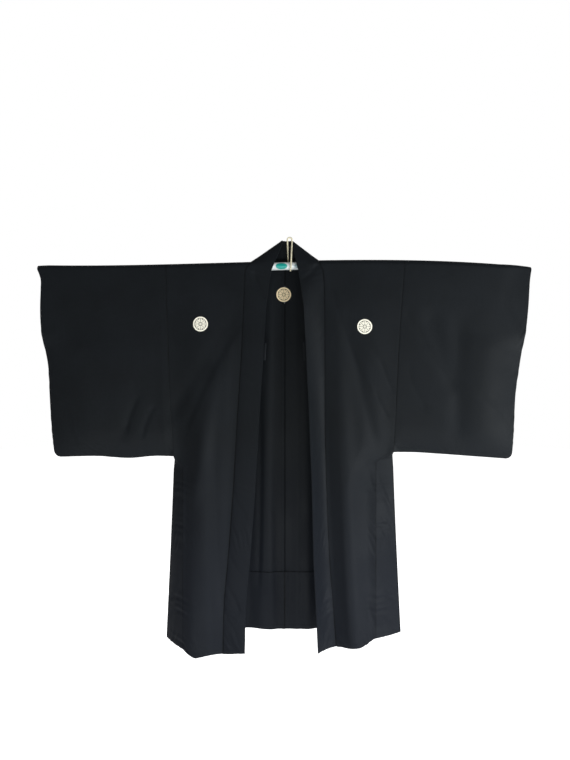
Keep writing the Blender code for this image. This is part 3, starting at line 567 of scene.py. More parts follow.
def fold_z(x):
    """Height of the middle of the round that the cloth makes over the rod."""
    held = np.clip(x, ROD_ENDS[0], ROD_ENDS[1])
    slip = FOLD_RADIUS - fold_radius(x)
    return rod_z(held) + slip - END_SLOPE * past_rod(x) - END_DROOP * past_rod(x) ** 2


# ---------------------------------------------------------------- form of the sleeves


def cuff_x(side, z, low):
    """The cuff's edge, with its lower corner rounded off."""
    lift = np.clip(z - low, 0.0, CUFF_CORNER)
    inset = CUFF_CORNER - np.sqrt(CUFF_CORNER**2 - (CUFF_CORNER - lift) ** 2)
    x = edge_x(CUFF, side, z)
    return x - np.copysign(inset, x)


def pinch(distance, reach):
    """Two sewn walls part quickly at their seam, and lie level beyond its reach."""
    share = np.clip(distance / reach, 0.0, 1.0)
    return 1.0 - (1.0 - share) ** 2


def sleeve_half_gap(across, down):
    """Half the space between the sleeve's walls, closed at its sewn edges."""
    half = between(FOLD_RADIUS, SLEEVE_HALF, smooth(down / SLEEVE_FLAT))
    floor = between(UNDERARM_HALF / SLEEVE_HALF, 0.0, np.minimum(across / UNDERARM_EASE, 1.0))
    low = np.maximum(pinch((1.0 - down) * SLEEVE_DEPTH, BOTTOM_REACH), floor)
    sewn = smooth((down - CUFF_OPEN + CUFF_CLOSING) / CUFF_CLOSING)
    wide = 1.0 - CUFF_FLATTER * smooth(across) * smooth(down / CUFF_FLAT_EASE)
    return half * low * between(wide, pinch((1.0 - across) * SLEEVE_WIDTH, CUFF_REACH), sewn)


def sleeve_top_x(side, across):
    armhole = edge_x(ARMHOLE, side, ROD_LEVEL)
    return between(armhole, edge_x(CUFF, side, ROD_LEVEL), across)


def sleeve_place(side, across, down, face):
    """Places on a sleeve: face is -1 on the front wall and 1 on the back wall."""
    top_x = sleeve_top_x(side, across)
    low = bottom_z(SLEEVE_BOTTOM, side, across)
    z = between(fold_z(top_x), low, down)
    x = between(edge_x(ARMHOLE, side, z), cuff_x(side, z, low), across)
    half = sleeve_half_gap(across, down)
    folds = FRONT_FOLDS + FRONT_CREASES if face < 0 else BACK_FOLDS + BACK_CREASES
    share = np.minimum(half / SLEEVE_HALF, 1.0) * smooth(down / SLEEVE_FOLD_EASE)
    rounded = smooth(down / SLEEVE_ROUND_EASE)
    half = half * between(fold_radius(top_x) / FOLD_RADIUS, 1.0, rounded)
    start = sleeve_half_gap(np.zeros_like(across), down)
    soft = side_half(side, z, UNDERARM_HALF) - start
    soft = soft * smooth(1.0 - across / ARMHOLE_EASE)
    half = half + soft * rounded * smooth((1.0 - down) / SLEEVE_BOTTOM_EASE)
    sink = groove(x - edge_x(ARMHOLE, side, z)) * open_enough(start)
    sink = sink * smooth(down / SLEEVE_GROOVE_EASE)
    drawn = puckers("sleeve foot", x, (1.0 - down) * SLEEVE_DEPTH)
    cuff = puckers("cuff", z, (1.0 - across) * SLEEVE_WIDTH)
    drawn = drawn + cuff * smooth(down / SLEEVE_PUCKER_EASE)
    return place(x, face * (half - sink) - share * raised(folds, x, z) + drawn, z)


# ---------------------------------------------------------------- form of the body lengths


def shoulder_x(side):
    """The armhole seam where it crosses the rod."""
    return edge_x(ARMHOLE, side, fold_z(edge_x(ARMHOLE, side, ROD_LEVEL)))


def underarm_z(side):
    return bottom_z(SLEEVE_BOTTOM, side, 0.0)


def front_side_x(side, z):
    """The front's outer edge: the armhole, then a short step in to the gusset's seam."""
    step = smooth((underarm_z(side) - z) / FRONT_STEP)
    return between(edge_x(ARMHOLE, side, z), edge_x(GUSSET_SEAM, side, z), step)


def eased_side_x(side, table, z):
    """The edge that a panel's depth is measured from, which turns slowly at the underarm."""
    step = smooth((underarm_z(side) + TURN_ABOVE - z) / TURN_DROP)
    return between(edge_x(ARMHOLE, side, z), edge_x(table, side, z), step)


def inward_share(side, table, x, z):
    """0 at a panel's outer edge and 1 where it hangs at its full depth."""
    inside = (eased_side_x(side, table, z) - x) * (1.0 if side == "left" else -1.0)
    return smooth(inside / SIDE_EASE)


def back_side_x(side, z):
    """The back's outer edge: the armhole, then a step out to the side."""
    step = smooth((underarm_z(side) - z) / BACK_STEP)
    return between(edge_x(ARMHOLE, side, z), edge_x(SIDE_EDGE, side, z), step)


def level_height(side, level, low, x):
    """Height at a level of the cut: 0 to 1 is the sleeve's depth and 1 to 2 goes on to the hem."""
    underarm = underarm_z(side)
    upper = between(fold_z(x), underarm, np.minimum(level, 1.0))
    return np.where(level <= 1.0, upper, between(underarm, low, level - 1.0))


def hang(z):
    """Share of the way from the rod down to the hem."""
    return np.clip((ROD_MIDDLE_Z - z) / BODY_DROP, 0.0, 1.1)


def side_half(side, z, at_hem):
    """Half depth at the outer edge, softened where the arm's part turns into the gusset's."""
    halves = sum(sharp_side_half(side, z + shift, at_hem) for shift in SIDE_SOFTENING)
    return halves / len(SIDE_SOFTENING)


def sharp_side_half(side, z, at_hem):
    """Half depth at the outer edge: the armhole's, then the gusset seam's."""
    low = underarm_z(side)
    top = fold_z(edge_x(ARMHOLE, side, z))
    arm = sleeve_half_gap(0.0, np.clip((top - z) / (top - low), 0.0, 1.0))
    skirt = between(UNDERARM_HALF, at_hem, np.clip((low - z) / SKIRT_DROP, 0.0, 1.0) ** SIDE_CURVE)
    return np.where(z >= low, arm, skirt)


def panel_form(side, x, z, table, half_at_hem, hem_depth, folds, outer, inner, pucker):
    """Of a front or back at a place: its depth with no folds, its folds, and what its seams draw in.

    The table is the outer edge that depth is measured from. Outer and inner are the distances from
    the panel's two seams.
    """
    inward = inward_share(side, table, x, z)
    edge = side_half(side, z, half_at_hem)
    deep = between(FOLD_RADIUS, hem_depth, hang(z) ** HANG_CURVE)
    share = between(np.minimum(edge / SLEEVE_HALF, 1.0), 1.0, inward)
    share = share * smooth((fold_z(x) - z) / SHOULDER_EASE)
    below = smooth((fold_z(x) - z) / GROOVE_EASE)
    sink = (groove(outer) * open_enough(edge) + groove(inner)) * below
    drawn = puckers(pucker, z, outer) * smooth((underarm_z(side) - z) / PUCKER_EASE)
    return between(edge, deep, inward), share * raised(folds, x, z), sink, drawn


def front_depth(side, x, z):
    """Depth of a front at a place, less than nothing in front of the rod."""
    outer, inner = x - front_side_x(side, z), x - edge_x(COLLAR_SEAM, side, z)
    depth, forward, sink, drawn = panel_form(
        side, x, z, GUSSET_SEAM, GUSSET_FRONT_HALF, FRONT_HEM_DEPTH,
        FRONT_FOLDS + FRONT_CREASES, outer, inner, "front side",
    )
    drawn = drawn + puckers("front hem", x, z - bottom_z(FRONT_HEM, side, 0.5))
    return sink + drawn - depth - forward


def front_place(side, across, level):
    """Places on a front, from its outer edge (across 0) to the collar seam (across 1)."""
    x = between(front_side_x(side, ROD_LEVEL), edge_x(COLLAR_SEAM, side, ROD_LEVEL), across)
    z = level_height(side, level, bottom_z(FRONT_HEM, side, 1.0 - across), x)
    x = between(front_side_x(side, z), edge_x(COLLAR_SEAM, side, z), across)
    return place(x, front_depth(side, x, z), z)


def neck_sag(side, x, z):
    """The back neck stands a little away from the rod between the shoulders."""
    start = edge_x(COLLAR_SEAM, side, COLLAR_SEAM[0].z)
    inward = smooth((np.abs(start - CENTRE_X) - np.abs(x - CENTRE_X)) / NECK_EASE)
    return NECK_SAG * inward * np.exp(-(((ROD_MIDDLE_Z - z) / NECK_DROP) ** 2))


def back_x(side, across, z):
    """Across the back: from the side (0) to the neck point (1) and to the centre seam (2)."""
    neck = edge_x(COLLAR_SEAM, side, COLLAR_SEAM[0].z)
    centre = CENTRE_X + math.copysign(SEAM / 2, neck - CENTRE_X)
    outer = between(back_side_x(side, z), neck, np.minimum(across, 1.0))
    return np.where(across <= 1.0, outer, between(neck, centre, across - 1.0))


def back_depth(side, x, z):
    """Depth of a back at a place, behind the middle of the rod."""
    outer, inner = x - back_side_x(side, z), x - CENTRE_X
    depth, forward, sink, drawn = panel_form(
        side, x, z, SIDE_EDGE, GUSSET_BACK_HALF, BACK_HEM_DEPTH,
        BACK_FOLDS + BACK_CREASES, outer, inner, "back side",
    )
    drawn = drawn + puckers("centre", z, inner)
    return depth - forward + neck_sag(side, x, z) - sink + drawn


def back_place(side, across, level):
    """Places on a back, below the fold over the rod."""
    x = back_x(side, across, ROD_LEVEL)
    whole = np.abs(back_x(side, np.array(0.0), SIDE_EDGE[1].z) - CENTRE_X)
    z = level_height(side, level, bottom_z(BACK_HEM, side, np.abs(x - CENTRE_X) / whole), x)
    x = back_x(side, across, z)
    return place(x, back_depth(side, x, z), z)


def over_rod(side, across, degrees):
    """Places on the round over the rod: 180 degrees faces front and 0 faces back."""
    angle = np.radians(degrees)
    reach = fold_z(0.0) + FOLD_RADIUS * np.sin(angle)
    neck = edge_x(COLLAR_SEAM, side, COLLAR_SEAM[0].z)
    inner = np.where(degrees > 90.0, edge_x(COLLAR_SEAM, side, reach), neck)
    shoulder = between(shoulder_x(side), inner, np.minimum(across, 1.0))
    start = back_x(side, np.array(1.0), ROD_LEVEL)
    x = np.where(across <= 1.0, shoulder, back_x(side, across, ROD_LEVEL))
    open_share = np.where(across <= 1.0, 0.0, smooth(np.abs(x - start) / NECK_EASE))
    y = between(FOLD_RADIUS * np.cos(angle), FOLD_RADIUS + NECK_SAG, open_share)
    return place(x, y, fold_z(x) + FOLD_RADIUS * np.sin(angle))


# ---------------------------------------------------------------- form of the collar band


def level_at(row):
    """The level of the cut at a marked row, which may lie between two rows."""
    return np.interp(row, np.arange(len(LEVELS)), LEVELS)


def row_at(level):
    """The marked row of a level, which may lie between two rows."""
    return np.interp(level, LEVELS, np.arange(len(LEVELS)))


def seam_place(side, row):
    """The collar seam: down the front, and over the rod for rows below nought."""
    front = front_place(side, np.ones_like(row), level_at(np.maximum(row, 0.0)))
    arc = over_rod(side, np.ones_like(row), 180.0 + ROW_DEGREES * np.minimum(row, 0.0))
    return np.where((row >= 0.0)[..., None], front, arc)


def straight_edge(side, row):
    """The band's folded edge where it hangs straight."""
    seam = seam_place(side, row)
    lean = edge_x(BAND_LEAN, side, seam[..., 2])
    reach = np.sqrt(BAND_WIDTH**2 - lean**2)
    drop = bottom_z(BAND_HEM, side, 1.0) - bottom_z(BAND_HEM, side, 0.0)
    z = seam[..., 2] + drop * smooth((BAND_TAPER_Z - seam[..., 2]) / BAND_TAPER)
    x = seam[..., 0] - np.copysign(reach, seam[..., 0] - CENTRE_X)
    return place(x, seam[..., 1] + lean, z)


def band_edge_place(side, row):
    """The band's folded edge, which runs up its crease to the peak behind the neck."""
    last_row = np.array(CREASE_END)
    low = straight_edge(side, last_row)
    share = (row + CREASE_SPAN - CREASE_END) / CREASE_SPAN
    z = between(PEAK[0].z, seam_place(side, last_row)[2], np.clip(share, 0.0, 1.0))
    heights = [peak.z for peak in PEAK] + [low[2]]
    xs = [getattr(peak, side + "_x") for peak in PEAK] + [low[0]]
    ys = [peak.y for peak in PEAK] + [low[1]]
    creased = place(eased(heights, xs, z), eased(heights, ys, z), z)
    return np.where((row >= CREASE_END)[..., None], straight_edge(side, row), creased)


def band_front_place(side, across, row):
    """Places on the front of the band, from its seam (across 0) to its folded edge (across 1)."""
    seam = seam_place(side, row)
    fold = band_edge_place(side, row)
    share = between(BAND_INSET / BAND_WIDTH, 1.0, across)
    spot = between(seam, fold, share[..., None])
    bulge = between(1.0, BAND_ROLL[side], smooth((row - CREASE_END + ROLL_ROWS) / ROLL_ROWS))
    spot[..., 1] = between(seam[..., 1], fold[..., 1], share**bulge)
    sewn = smooth(share / BAND_SEWN)
    drawn = puckers("band", spot[..., 2], BAND_WIDTH * share) * sewn
    grown = smooth((BAND_PUCKER_Z - spot[..., 2]) / BAND_PUCKER_GROWTH)
    drawn = drawn * between(BAND_PUCKER_LEAST, 1.0, grown)
    spot[..., 1] += drawn - sewn * raised(BAND_CREASES, spot[..., 0], spot[..., 2])
    return spot


def behind_band(side, across, row):
    """Places behind the band's front, one lap inside it."""
    spot = band_front_place(side, across, row)
    aside = band_front_place(side, across + 0.02, row) - spot
    down = band_front_place(side, across, row - 0.02) - spot
    normal = np.cross(aside, down)
    normal /= np.linalg.norm(normal, axis=-1, keepdims=True)
    normal *= np.sign(normal[..., 1:2])
    return spot + normal * BAND_LAP


def band_back_place(side, across, along):
    """Places on the back of the band: along is 0 at the crease over the rod and 1 at the centre."""
    neck = over_rod(side, 1.0 + along, np.full_like(along, NECK_DEGREES))
    top_x = between(getattr(PEAK[0], side + "_x"), CENTRE_X / 2, along)
    top_y = between(PEAK[0].y + PEAK_STEP, BAND_BACK_Y, smooth(along))
    top = place(top_x, top_y, PEAK[0].z)
    return between(neck, top, between(NECK_INSET / BAND_WIDTH, 1.0, across)[..., None])


# ---------------------------------------------------------------- making cloth


def selected(ob):
    """Selects one object and nothing else."""
    bpy.ops.object.select_all(action="DESELECT")
    ob.select_set(True)
    bpy.context.view_layer.objects.active = ob


def edited(*steps, whole=True):
    """Runs mesh operators in edit mode, on the whole mesh or on what is picked already."""
    bpy.ops.object.mode_set(mode="EDIT")
    if whole:
        bpy.ops.mesh.select_all(action="SELECT")
    for name, settings in steps:
        getattr(bpy.ops.mesh, name)(**settings)
    bpy.ops.object.mode_set(mode="OBJECT")


def picked(ob, chosen):
    """Picks some of a mesh's points for the next edit."""
    steps = ("select_mode", {"type": "VERT"}), ("select_all", {"action": "DESELECT"})
    edited(*steps, whole=False)
    ob.data.vertices.foreach_set("select", chosen.ravel())


def merged(distance):
    """The step that joins points closer than a distance."""
    return "remove_doubles", {"threshold": distance}


OUTWARD = ("normals_make_consistent", {"inside": False})
SHARP = {"limit_method": "ANGLE", "angle_limit": math.radians(60)}


def modified(ob, name, kind, **settings):
    """Puts a modifier on an object and applies it."""
    modifier = ob.modifiers.new(name, kind)
    for key, value in settings.items():
        setattr(modifier, key, value)
    selected(ob)
    bpy.ops.object.modifier_apply(modifier=modifier.name)


def finished(ob, material):
    """Gives an object its one material and its place in the body."""
    ob.data.materials.clear()
    ob.data.materials.append(material)
    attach(ob, "root")


def corners_of(mesh):
    """The point of each corner of a mesh's faces."""
    corner = np.zeros(len(mesh.loops), dtype=np.int32)
    mesh.loops.foreach_get("vertex_index", corner)
    return corner


def laid_cloth(name, spots, keep=None, seams=None):
    """A grid whose points are laid at their spots, with a UV map of the cut in metres.

    Seams is how near each point is to a seam, from 0 to 1, where the shade of its fold is painted into
    the cloth's colour.
    """
    rows, columns = spots.shape[:2]
    bpy.ops.object.select_all(action="DESELECT")
    bpy.ops.mesh.primitive_grid_add(x_subdivisions=columns - 1, y_subdivisions=rows - 1, size=2.0)
    ob = bpy.context.active_object
    ob.name = name
    mesh = ob.data
    mesh.name = name
    mesh.vertices.foreach_set("co", spots.astype(np.float32).ravel())
    wide = np.linalg.norm(np.diff(spots, axis=1), axis=2)
    long = np.linalg.norm(np.diff(spots, axis=0), axis=2)
    u = np.concatenate([np.zeros((rows, 1)), np.cumsum(wide, axis=1)], axis=1)
    v = np.concatenate([np.zeros((1, columns)), np.cumsum(long, axis=0)], axis=0)
    while mesh.uv_layers:
        mesh.uv_layers.remove(mesh.uv_layers[0])
    corner = corners_of(mesh)
    cut = mesh.uv_layers.new(name="cut")
    cut.data.foreach_set("uv", np.stack([u.ravel()[corner], v.ravel()[corner]], axis=1).ravel())
    # the seam attribute is the mask of the shade painted along seams
    near = mesh.attributes.new("seam", "FLOAT", "POINT")
    near.data.foreach_set("value", (np.zeros((rows, columns)) if seams is None else seams).ravel())
    if keep is not None:
        picked(ob, ~keep)
        edited(("delete", {"type": "VERT"}), whole=False)
    return ob


def thickened(ob, thickness):
    """Gives the laid cloth its wall, a softened rim and its finish."""
    selected(ob)
    edited(merged(0.00002), OUTWARD)
    modified(ob, "wall", "SOLIDIFY", thickness=thickness, offset=0.0)
    modified(ob, "rim", "BEVEL", width=thickness * 0.32, segments=2, **SHARP)
    bpy.ops.object.shade_smooth_by_angle(angle=math.radians(50))
    finished(ob, silk_finish())


# this closeness is the mask of the shade painted along seams
def edge_closeness(spots, columns=(), rows=()):
    """How near each point of a grid is to some of its columns and rows."""
    nearest = np.full(spots.shape[:2], 1.0)
    for column in columns:
        nearest = np.minimum(nearest, np.linalg.norm(spots - spots[:, column : column + 1], axis=2))
    for row in rows:
        nearest = np.minimum(nearest, np.linalg.norm(spots - spots[row : row + 1], axis=2))
    return np.exp(-((nearest / SEAM_SHADE) ** 2))


def spaced(count, ends=(0.004, 0.014)):
    """Shares from 0 to 1, with two close ones at each end that keep an edge crisp."""
    inner = np.linspace(0.0, 1.0, count)[1:-1]
    inner = inner[(inner > ends[1] * 1.5) & (inner < 1.0 - ends[1] * 1.5)]
    return np.concatenate([[0.0, *ends], inner, [1.0 - ends[1], 1.0 - ends[0], 1.0]])


# ---------------------------------------------------------------- finishes


class Finish:
    """A material, and the makers of the nodes that it is joined from."""

    def __init__(self, name):
        self.made = bpy.data.materials.new(name)
        self.made.use_nodes = True
        self.tree = self.made.node_tree
        self.shader = self.tree.nodes["Principled BSDF"]

    def join(self, socket, value):
        """Links a node's output to a socket, or sets a number or colour on it."""
        if isinstance(value, bpy.types.NodeSocket):
            self.tree.links.new(value, socket)
        else:
            socket.default_value = value

    def fill(self, node, inputs):
        """Joins a node's inputs by name, where an underscore stands for a space."""
        for key, value in inputs.items():
            self.join(node.inputs[key.replace("_", " ")], value)

    def surface(self, **inputs):
        """Sets the shader's inputs, and gives the material."""
        self.fill(self.shader, inputs)
        return self.made

    def node(self, kind, settings=None, **inputs):
        """A new node with its settings and inputs."""
        fresh = self.tree.nodes.new(kind)
        for key, value in (settings or {}).items():
            setattr(fresh, key, value)
        self.fill(fresh, inputs)
        return fresh

    def spot(self):
        """Places on the object itself, which the pattern keeps to."""
        return self.node("ShaderNodeTexCoord").outputs["Object"]

    def noise(self, vector, scale, detail):
        """A soft random share, from 0 to 1."""
        inputs = {"Vector": vector, "Scale": scale, "Detail": detail}
        return self.node("ShaderNodeTexNoise", **inputs).outputs["Fac"]

    def maths(self, operation, *values, kind="ShaderNodeMath", output="Value"):
        """One sum of numbers, or of vectors with the vector kind."""
        fresh = self.node(kind, {"operation": operation})
        for socket, value in zip(fresh.inputs, values):
            self.join(socket, value)
        return fresh.outputs[output]

    def vectors(self, operation, *values, output="Vector"):
        return self.maths(operation, *values, kind="ShaderNodeVectorMath", output=output)

    def mixed(self, share, low, high):
        """A colour between two, by a share that varies over the surface."""
        mix = self.node("ShaderNodeMix", {"data_type": "RGBA"}, Factor=share)
        for key, value in (("A", low), ("B", high)):
            linked = isinstance(value, bpy.types.NodeSocket)
            self.join(mix.inputs[key], value if linked else (*value, 1.0))
        return mix.outputs["Result"]

    def ranged(self, share, low, high, from_low=0.0, from_high=1.0):
        """A number carried from one range to another."""
        inputs = {"From_Min": from_low, "From_Max": from_high, "To_Min": low, "To_Max": high}
        return self.node("ShaderNodeMapRange", Value=share, **inputs).outputs["Result"]

    def bump(self, height, strength, distance, **more):
        """The lie of the surface over a fine relief."""
        inputs = {"Height": height, "Strength": strength, "Distance": distance, **more}
        return self.node("ShaderNodeBump", **inputs).outputs["Normal"]

    def weave(self, uv, pitch):
        """Height of a plain weave: warp and weft ride over and under each other."""
        inputs = {"Vector": uv, "Scale": 2.0 * math.pi / (20.0 * pitch)}
        waves = []
        for direction in ("X", "Y"):
            wave = self.node("ShaderNodeTexWave", {"bands_direction": direction}, **inputs)
            waves.append(wave.outputs["Fac"])
        return self.maths("MULTIPLY", *waves)

    def oval(self, spot, oval):
        """1 on an oval painted on the front of the rod, and 0 beyond its soft edge."""
        middle = (oval.x, -ROD_RADIUS, rod_z(oval.x) - oval.drop)
        reach = (oval.half_width, ROD_RADIUS, oval.half_height)
        scaled = self.vectors("DIVIDE", self.vectors("SUBTRACT", spot, middle), reach)
        away = self.vectors("LENGTH", scaled, output="Value")
        return self.ranged(away, 1.0, 0.0, oval.full, oval.clear)


def silk_finish(name="black_silk"):
    """Black plain-weave silk: slubbed warp, a faint crepe, a low cool sheen, painted shade along its
    seams, and a painted sheen that colours it lighter and bluer toward the hem.
    """
    if name in bpy.data.materials:
        return bpy.data.materials[name]
    colours = bpy.context.scene.haori_colours
    silk = Finish(name)
    uv = silk.node("ShaderNodeUVMap", {"uv_map": "cut"}).outputs["UV"]
    spot = silk.spot()
    stretched = silk.node("ShaderNodeMapping", Vector=uv, Scale=(900.0, 14.0, 1.0)).outputs["Vector"]
    slub = silk.noise(stretched, 1.0, 3.0)
    cloud = silk.noise(spot, 9.0, 2.0)
    tone = silk.maths("MULTIPLY", slub, silk.ranged(cloud, 0.6, 1.4, 0.3, 0.7))
    height = silk.node("ShaderNodeSeparateXYZ", Vector=spot).outputs["Z"]
    # painted sheen: the cloth is painted lighter and bluer toward the hem
    painted_sheen_share = silk.ranged(height, PAINTED_SHEEN, 0.0, *PAINTED_SHEEN_HEIGHTS)
    # painted shade: the cloth is painted dark along its seams, unevenly by the cloud
    seam = silk.node("ShaderNodeAttribute", {"attribute_name": "seam"}).outputs["Fac"]
    painted_shade_share = silk.maths("MULTIPLY", seam, silk.ranged(cloud, 0.45, 1.0, 0.36, 0.60))
    colour = silk.mixed(tone, colours.silk, colours.silk_light)
    colour = silk.mixed(painted_sheen_share, colour, colours.silk_painted_sheen)
    threads = silk.bump(silk.weave(uv, bpy.context.scene.haori_sizes.thread), 0.30, 0.00008)
    return silk.surface(
        Base_Color=silk.mixed(painted_shade_share, colour, PAINTED_SEAM_SHADE),
        Roughness=silk.ranged(cloud, 0.50, 0.62, 0.3, 0.7),
        Specular_IOR_Level=0.10,
        Sheen_Weight=0.03,
        Sheen_Roughness=0.45,
        Sheen_Tint=(0.75, 0.85, 1.0, 1.0),
        Normal=silk.bump(silk.noise(spot, 210.0, 3.0), 0.25, 0.0006, Normal=threads),
    )


def crest_finish(name, colour):
    """A generic rosette in a ring: eight petals about a small boss, left undyed."""
    if name in bpy.data.materials:
        return bpy.data.materials[name]
    crest = Finish(name)
    maths = crest.maths
    uv = crest.node("ShaderNodeUVMap", {"uv_map": "disc"}).outputs["UV"]
    parts = crest.node("ShaderNodeSeparateXYZ", Vector=uv).outputs
    radius = crest.vectors("LENGTH", uv, output="Value")

    def step(value, edge, soft=0.03):
        return crest.ranged(value, 0.0, 1.0, edge - soft, edge + soft)

    def circle(middle, half):
        return maths("SUBTRACT", 1.0, step(maths("ABSOLUTE", maths("SUBTRACT", radius, middle)), half))

    angle = maths("ARCTAN2", parts["Y"], parts["X"])
    wave = maths("ABSOLUTE", maths("COSINE", maths("MULTIPLY", angle, 4.0)))
    reach = maths("MULTIPLY_ADD", maths("POWER", wave, 0.5), 0.26, 0.53)
    petals = step(maths("SUBTRACT", reach, radius), 0.0)
    vein = step(maths("SUBTRACT", 1.0, wave), 0.02, 0.02)
    boss = maths("SUBTRACT", 0.84, circle(0.22, 0.035))
    inner = maths("MULTIPLY", maths("MULTIPLY", petals, vein), boss)
    dyed = tuple(value * 0.12 for value in colour)
    threads = crest.weave(uv, bpy.context.scene.haori_sizes.thread / 0.019)
    return crest.surface(
        Base_Color=crest.mixed(maths("MAXIMUM", inner, circle(0.90, 0.085)), dyed, colour),
        Roughness=0.7,
        Specular_IOR_Level=0.2,
        Normal=crest.bump(threads, 0.3, 0.00008),
    )


def rod_finish():
    """Smooth coated tube with the faint unevenness of use, a plain oval patch and a smear."""
    colours = bpy.context.scene.haori_colours
    rod = Finish("white_coating")
    spot = rod.spot()
    wear = rod.noise(spot, 160.0, 4.0)
    dull = tuple(value * 0.86 for value in colours.rod)
    coat = rod.mixed(rod.ranged(wear, 0.0, 1.0, 0.35, 0.65), dull, colours.rod)
    marked = rod.mixed(rod.oval(spot, PATCH), coat, colours.patch)
    return rod.surface(
        Base_Color=rod.mixed(rod.oval(spot, SMEAR), marked, SMEAR_COLOUR),
        Roughness=rod.ranged(wear, 0.24, 0.38, 0.3, 0.7),
        Normal=rod.bump(wear, 0.12, 0.0003),
    )


def cord_finish():
    """Dull twisted string with darker fibres between its strands."""
    colour = bpy.context.scene.haori_colours.cord
    cord = Finish("beige_cord")
    fibre = cord.noise(cord.spot(), 900.0, 4.0)
    dark = tuple(value * 0.6 for value in colour)
    return cord.surface(
        Base_Color=cord.mixed(cord.ranged(fibre, 0.0, 1.0, 0.35, 0.6), dark, colour),
        Roughness=0.86,
        Specular_IOR_Level=0.2,
        Normal=cord.bump(fibre, 0.5, 0.0002),
    )


# ---------------------------------------------------------------- the pieces


def cord_route():
    """The doubled cord: down in front of the rod, under it, and up behind it to the top bend."""
    clear = ROD_RADIUS + CORD_RADIUS + CORD_CLEAR
    rest, top = rod_z(0.0), CORD_RADIUS - CORD_BEND
    front, under, bend = [], [], []
    for k in range(9):
        share = k / 8
        y = -clear * float(smooth(share * 1.25))
        x = between(CORD_BEND, CORD_REST_X, share)
        front.append(Vector((x, y, between(top, rest + CORD_RISE, share))))
    for k in range(8):
        angle = math.radians(between(180, 345, k / 7))
        x = between(CORD_REST_X, CORD_END_X, k / 7)
        under.append(Vector((x, clear * math.cos(angle), rest + clear * math.sin(angle))))
    for k in range(1, 7):
        angle = math.pi * (1.0 - k / 7)
        bend.append(Vector((CORD_BEND * math.cos(angle), 0.0, top + CORD_BEND * math.sin(angle))))
    behind = [Vector((-point.x, -point.y, point.z)) for point in reversed(front)]
    return behind + bend + front + under


def resampled(points, spacing):
    """Evenly spaced points on a smooth curve through a route, and its length."""
    points = np.array([tuple(point) for point in points])
    for _ in range(3):
        middle = (points[1:] + points[:-1]) / 2
        dense = np.empty((len(points) + len(middle), 3))
        dense[0::2], dense[1::2] = points, middle
        dense[1:-1] = (dense[:-2] + 2.0 * dense[1:-1] + dense[2:]) / 4.0
        points = dense
    run = np.concatenate([[0.0], np.cumsum(np.linalg.norm(np.diff(points, axis=0), axis=1))])
    at = np.linspace(0.0, run[-1], int(run[-1] / spacing) + 1)
    return np.stack([np.interp(at, run, points[:, axis]) for axis in range(3)], axis=1), run[-1]


class HAORI_OT_hanging_cord(Operator):
    """Twist the doubled cord that the rod hangs in"""

    bl_idname = "haori.hanging_cord"
    bl_label = "Hanging cord"

    def execute(self, context):
        route, length = resampled(cord_route(), CORD_SPACING)
        cord = laid_cloth("cord_twisted", self.twisted(route, length))
        edited(
            merged(0.000005),
            ("select_all", {"action": "DESELECT"}),
            ("select_mode", {"type": "EDGE"}),
            ("select_non_manifold", {"extend": False}),
            ("edge_face_add", {}),
            ("select_all", {"action": "SELECT"}),
            OUTWARD,
        )
        bpy.ops.object.shade_smooth_by_angle(angle=math.radians(60))
        finished(cord, cord_finish())
        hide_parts("hanging_cord")
        return {"FINISHED"}

    def twisted(self, route, length):
        """Rings of points round the route, with a lobe for each ply."""
        around = np.arange(CORD_SIDES + 1) / CORD_SIDES * 2.0 * math.pi
        tangent = np.gradient(route, axis=0)
        tangent /= np.linalg.norm(tangent, axis=1)[:, None]
        across = np.cross(tangent, np.array([1.0, 0.0, 0.0]))
        across /= np.maximum(np.linalg.norm(across, axis=1), 1e-6)[:, None]
        for k in range(1, len(across)):
            if across[k] @ across[k - 1] < 0:
                across[k] = -across[k]
        up = np.cross(tangent, across)
        turn = np.linspace(0.0, length, len(route)) / CORD_LAY * 2.0 * math.pi
        lobes = np.abs(np.cos((around[None, :] - turn[:, None]) * CORD_PLIES / 2.0))
        radius = CORD_RADIUS * (0.78 + 0.22 * lobes**0.7)
        aside = across[:, None, :] * (radius * np.cos(around))[..., None]
        return route[:, None, :] + aside + up[:, None, :] * (radius * np.sin(around))[..., None]


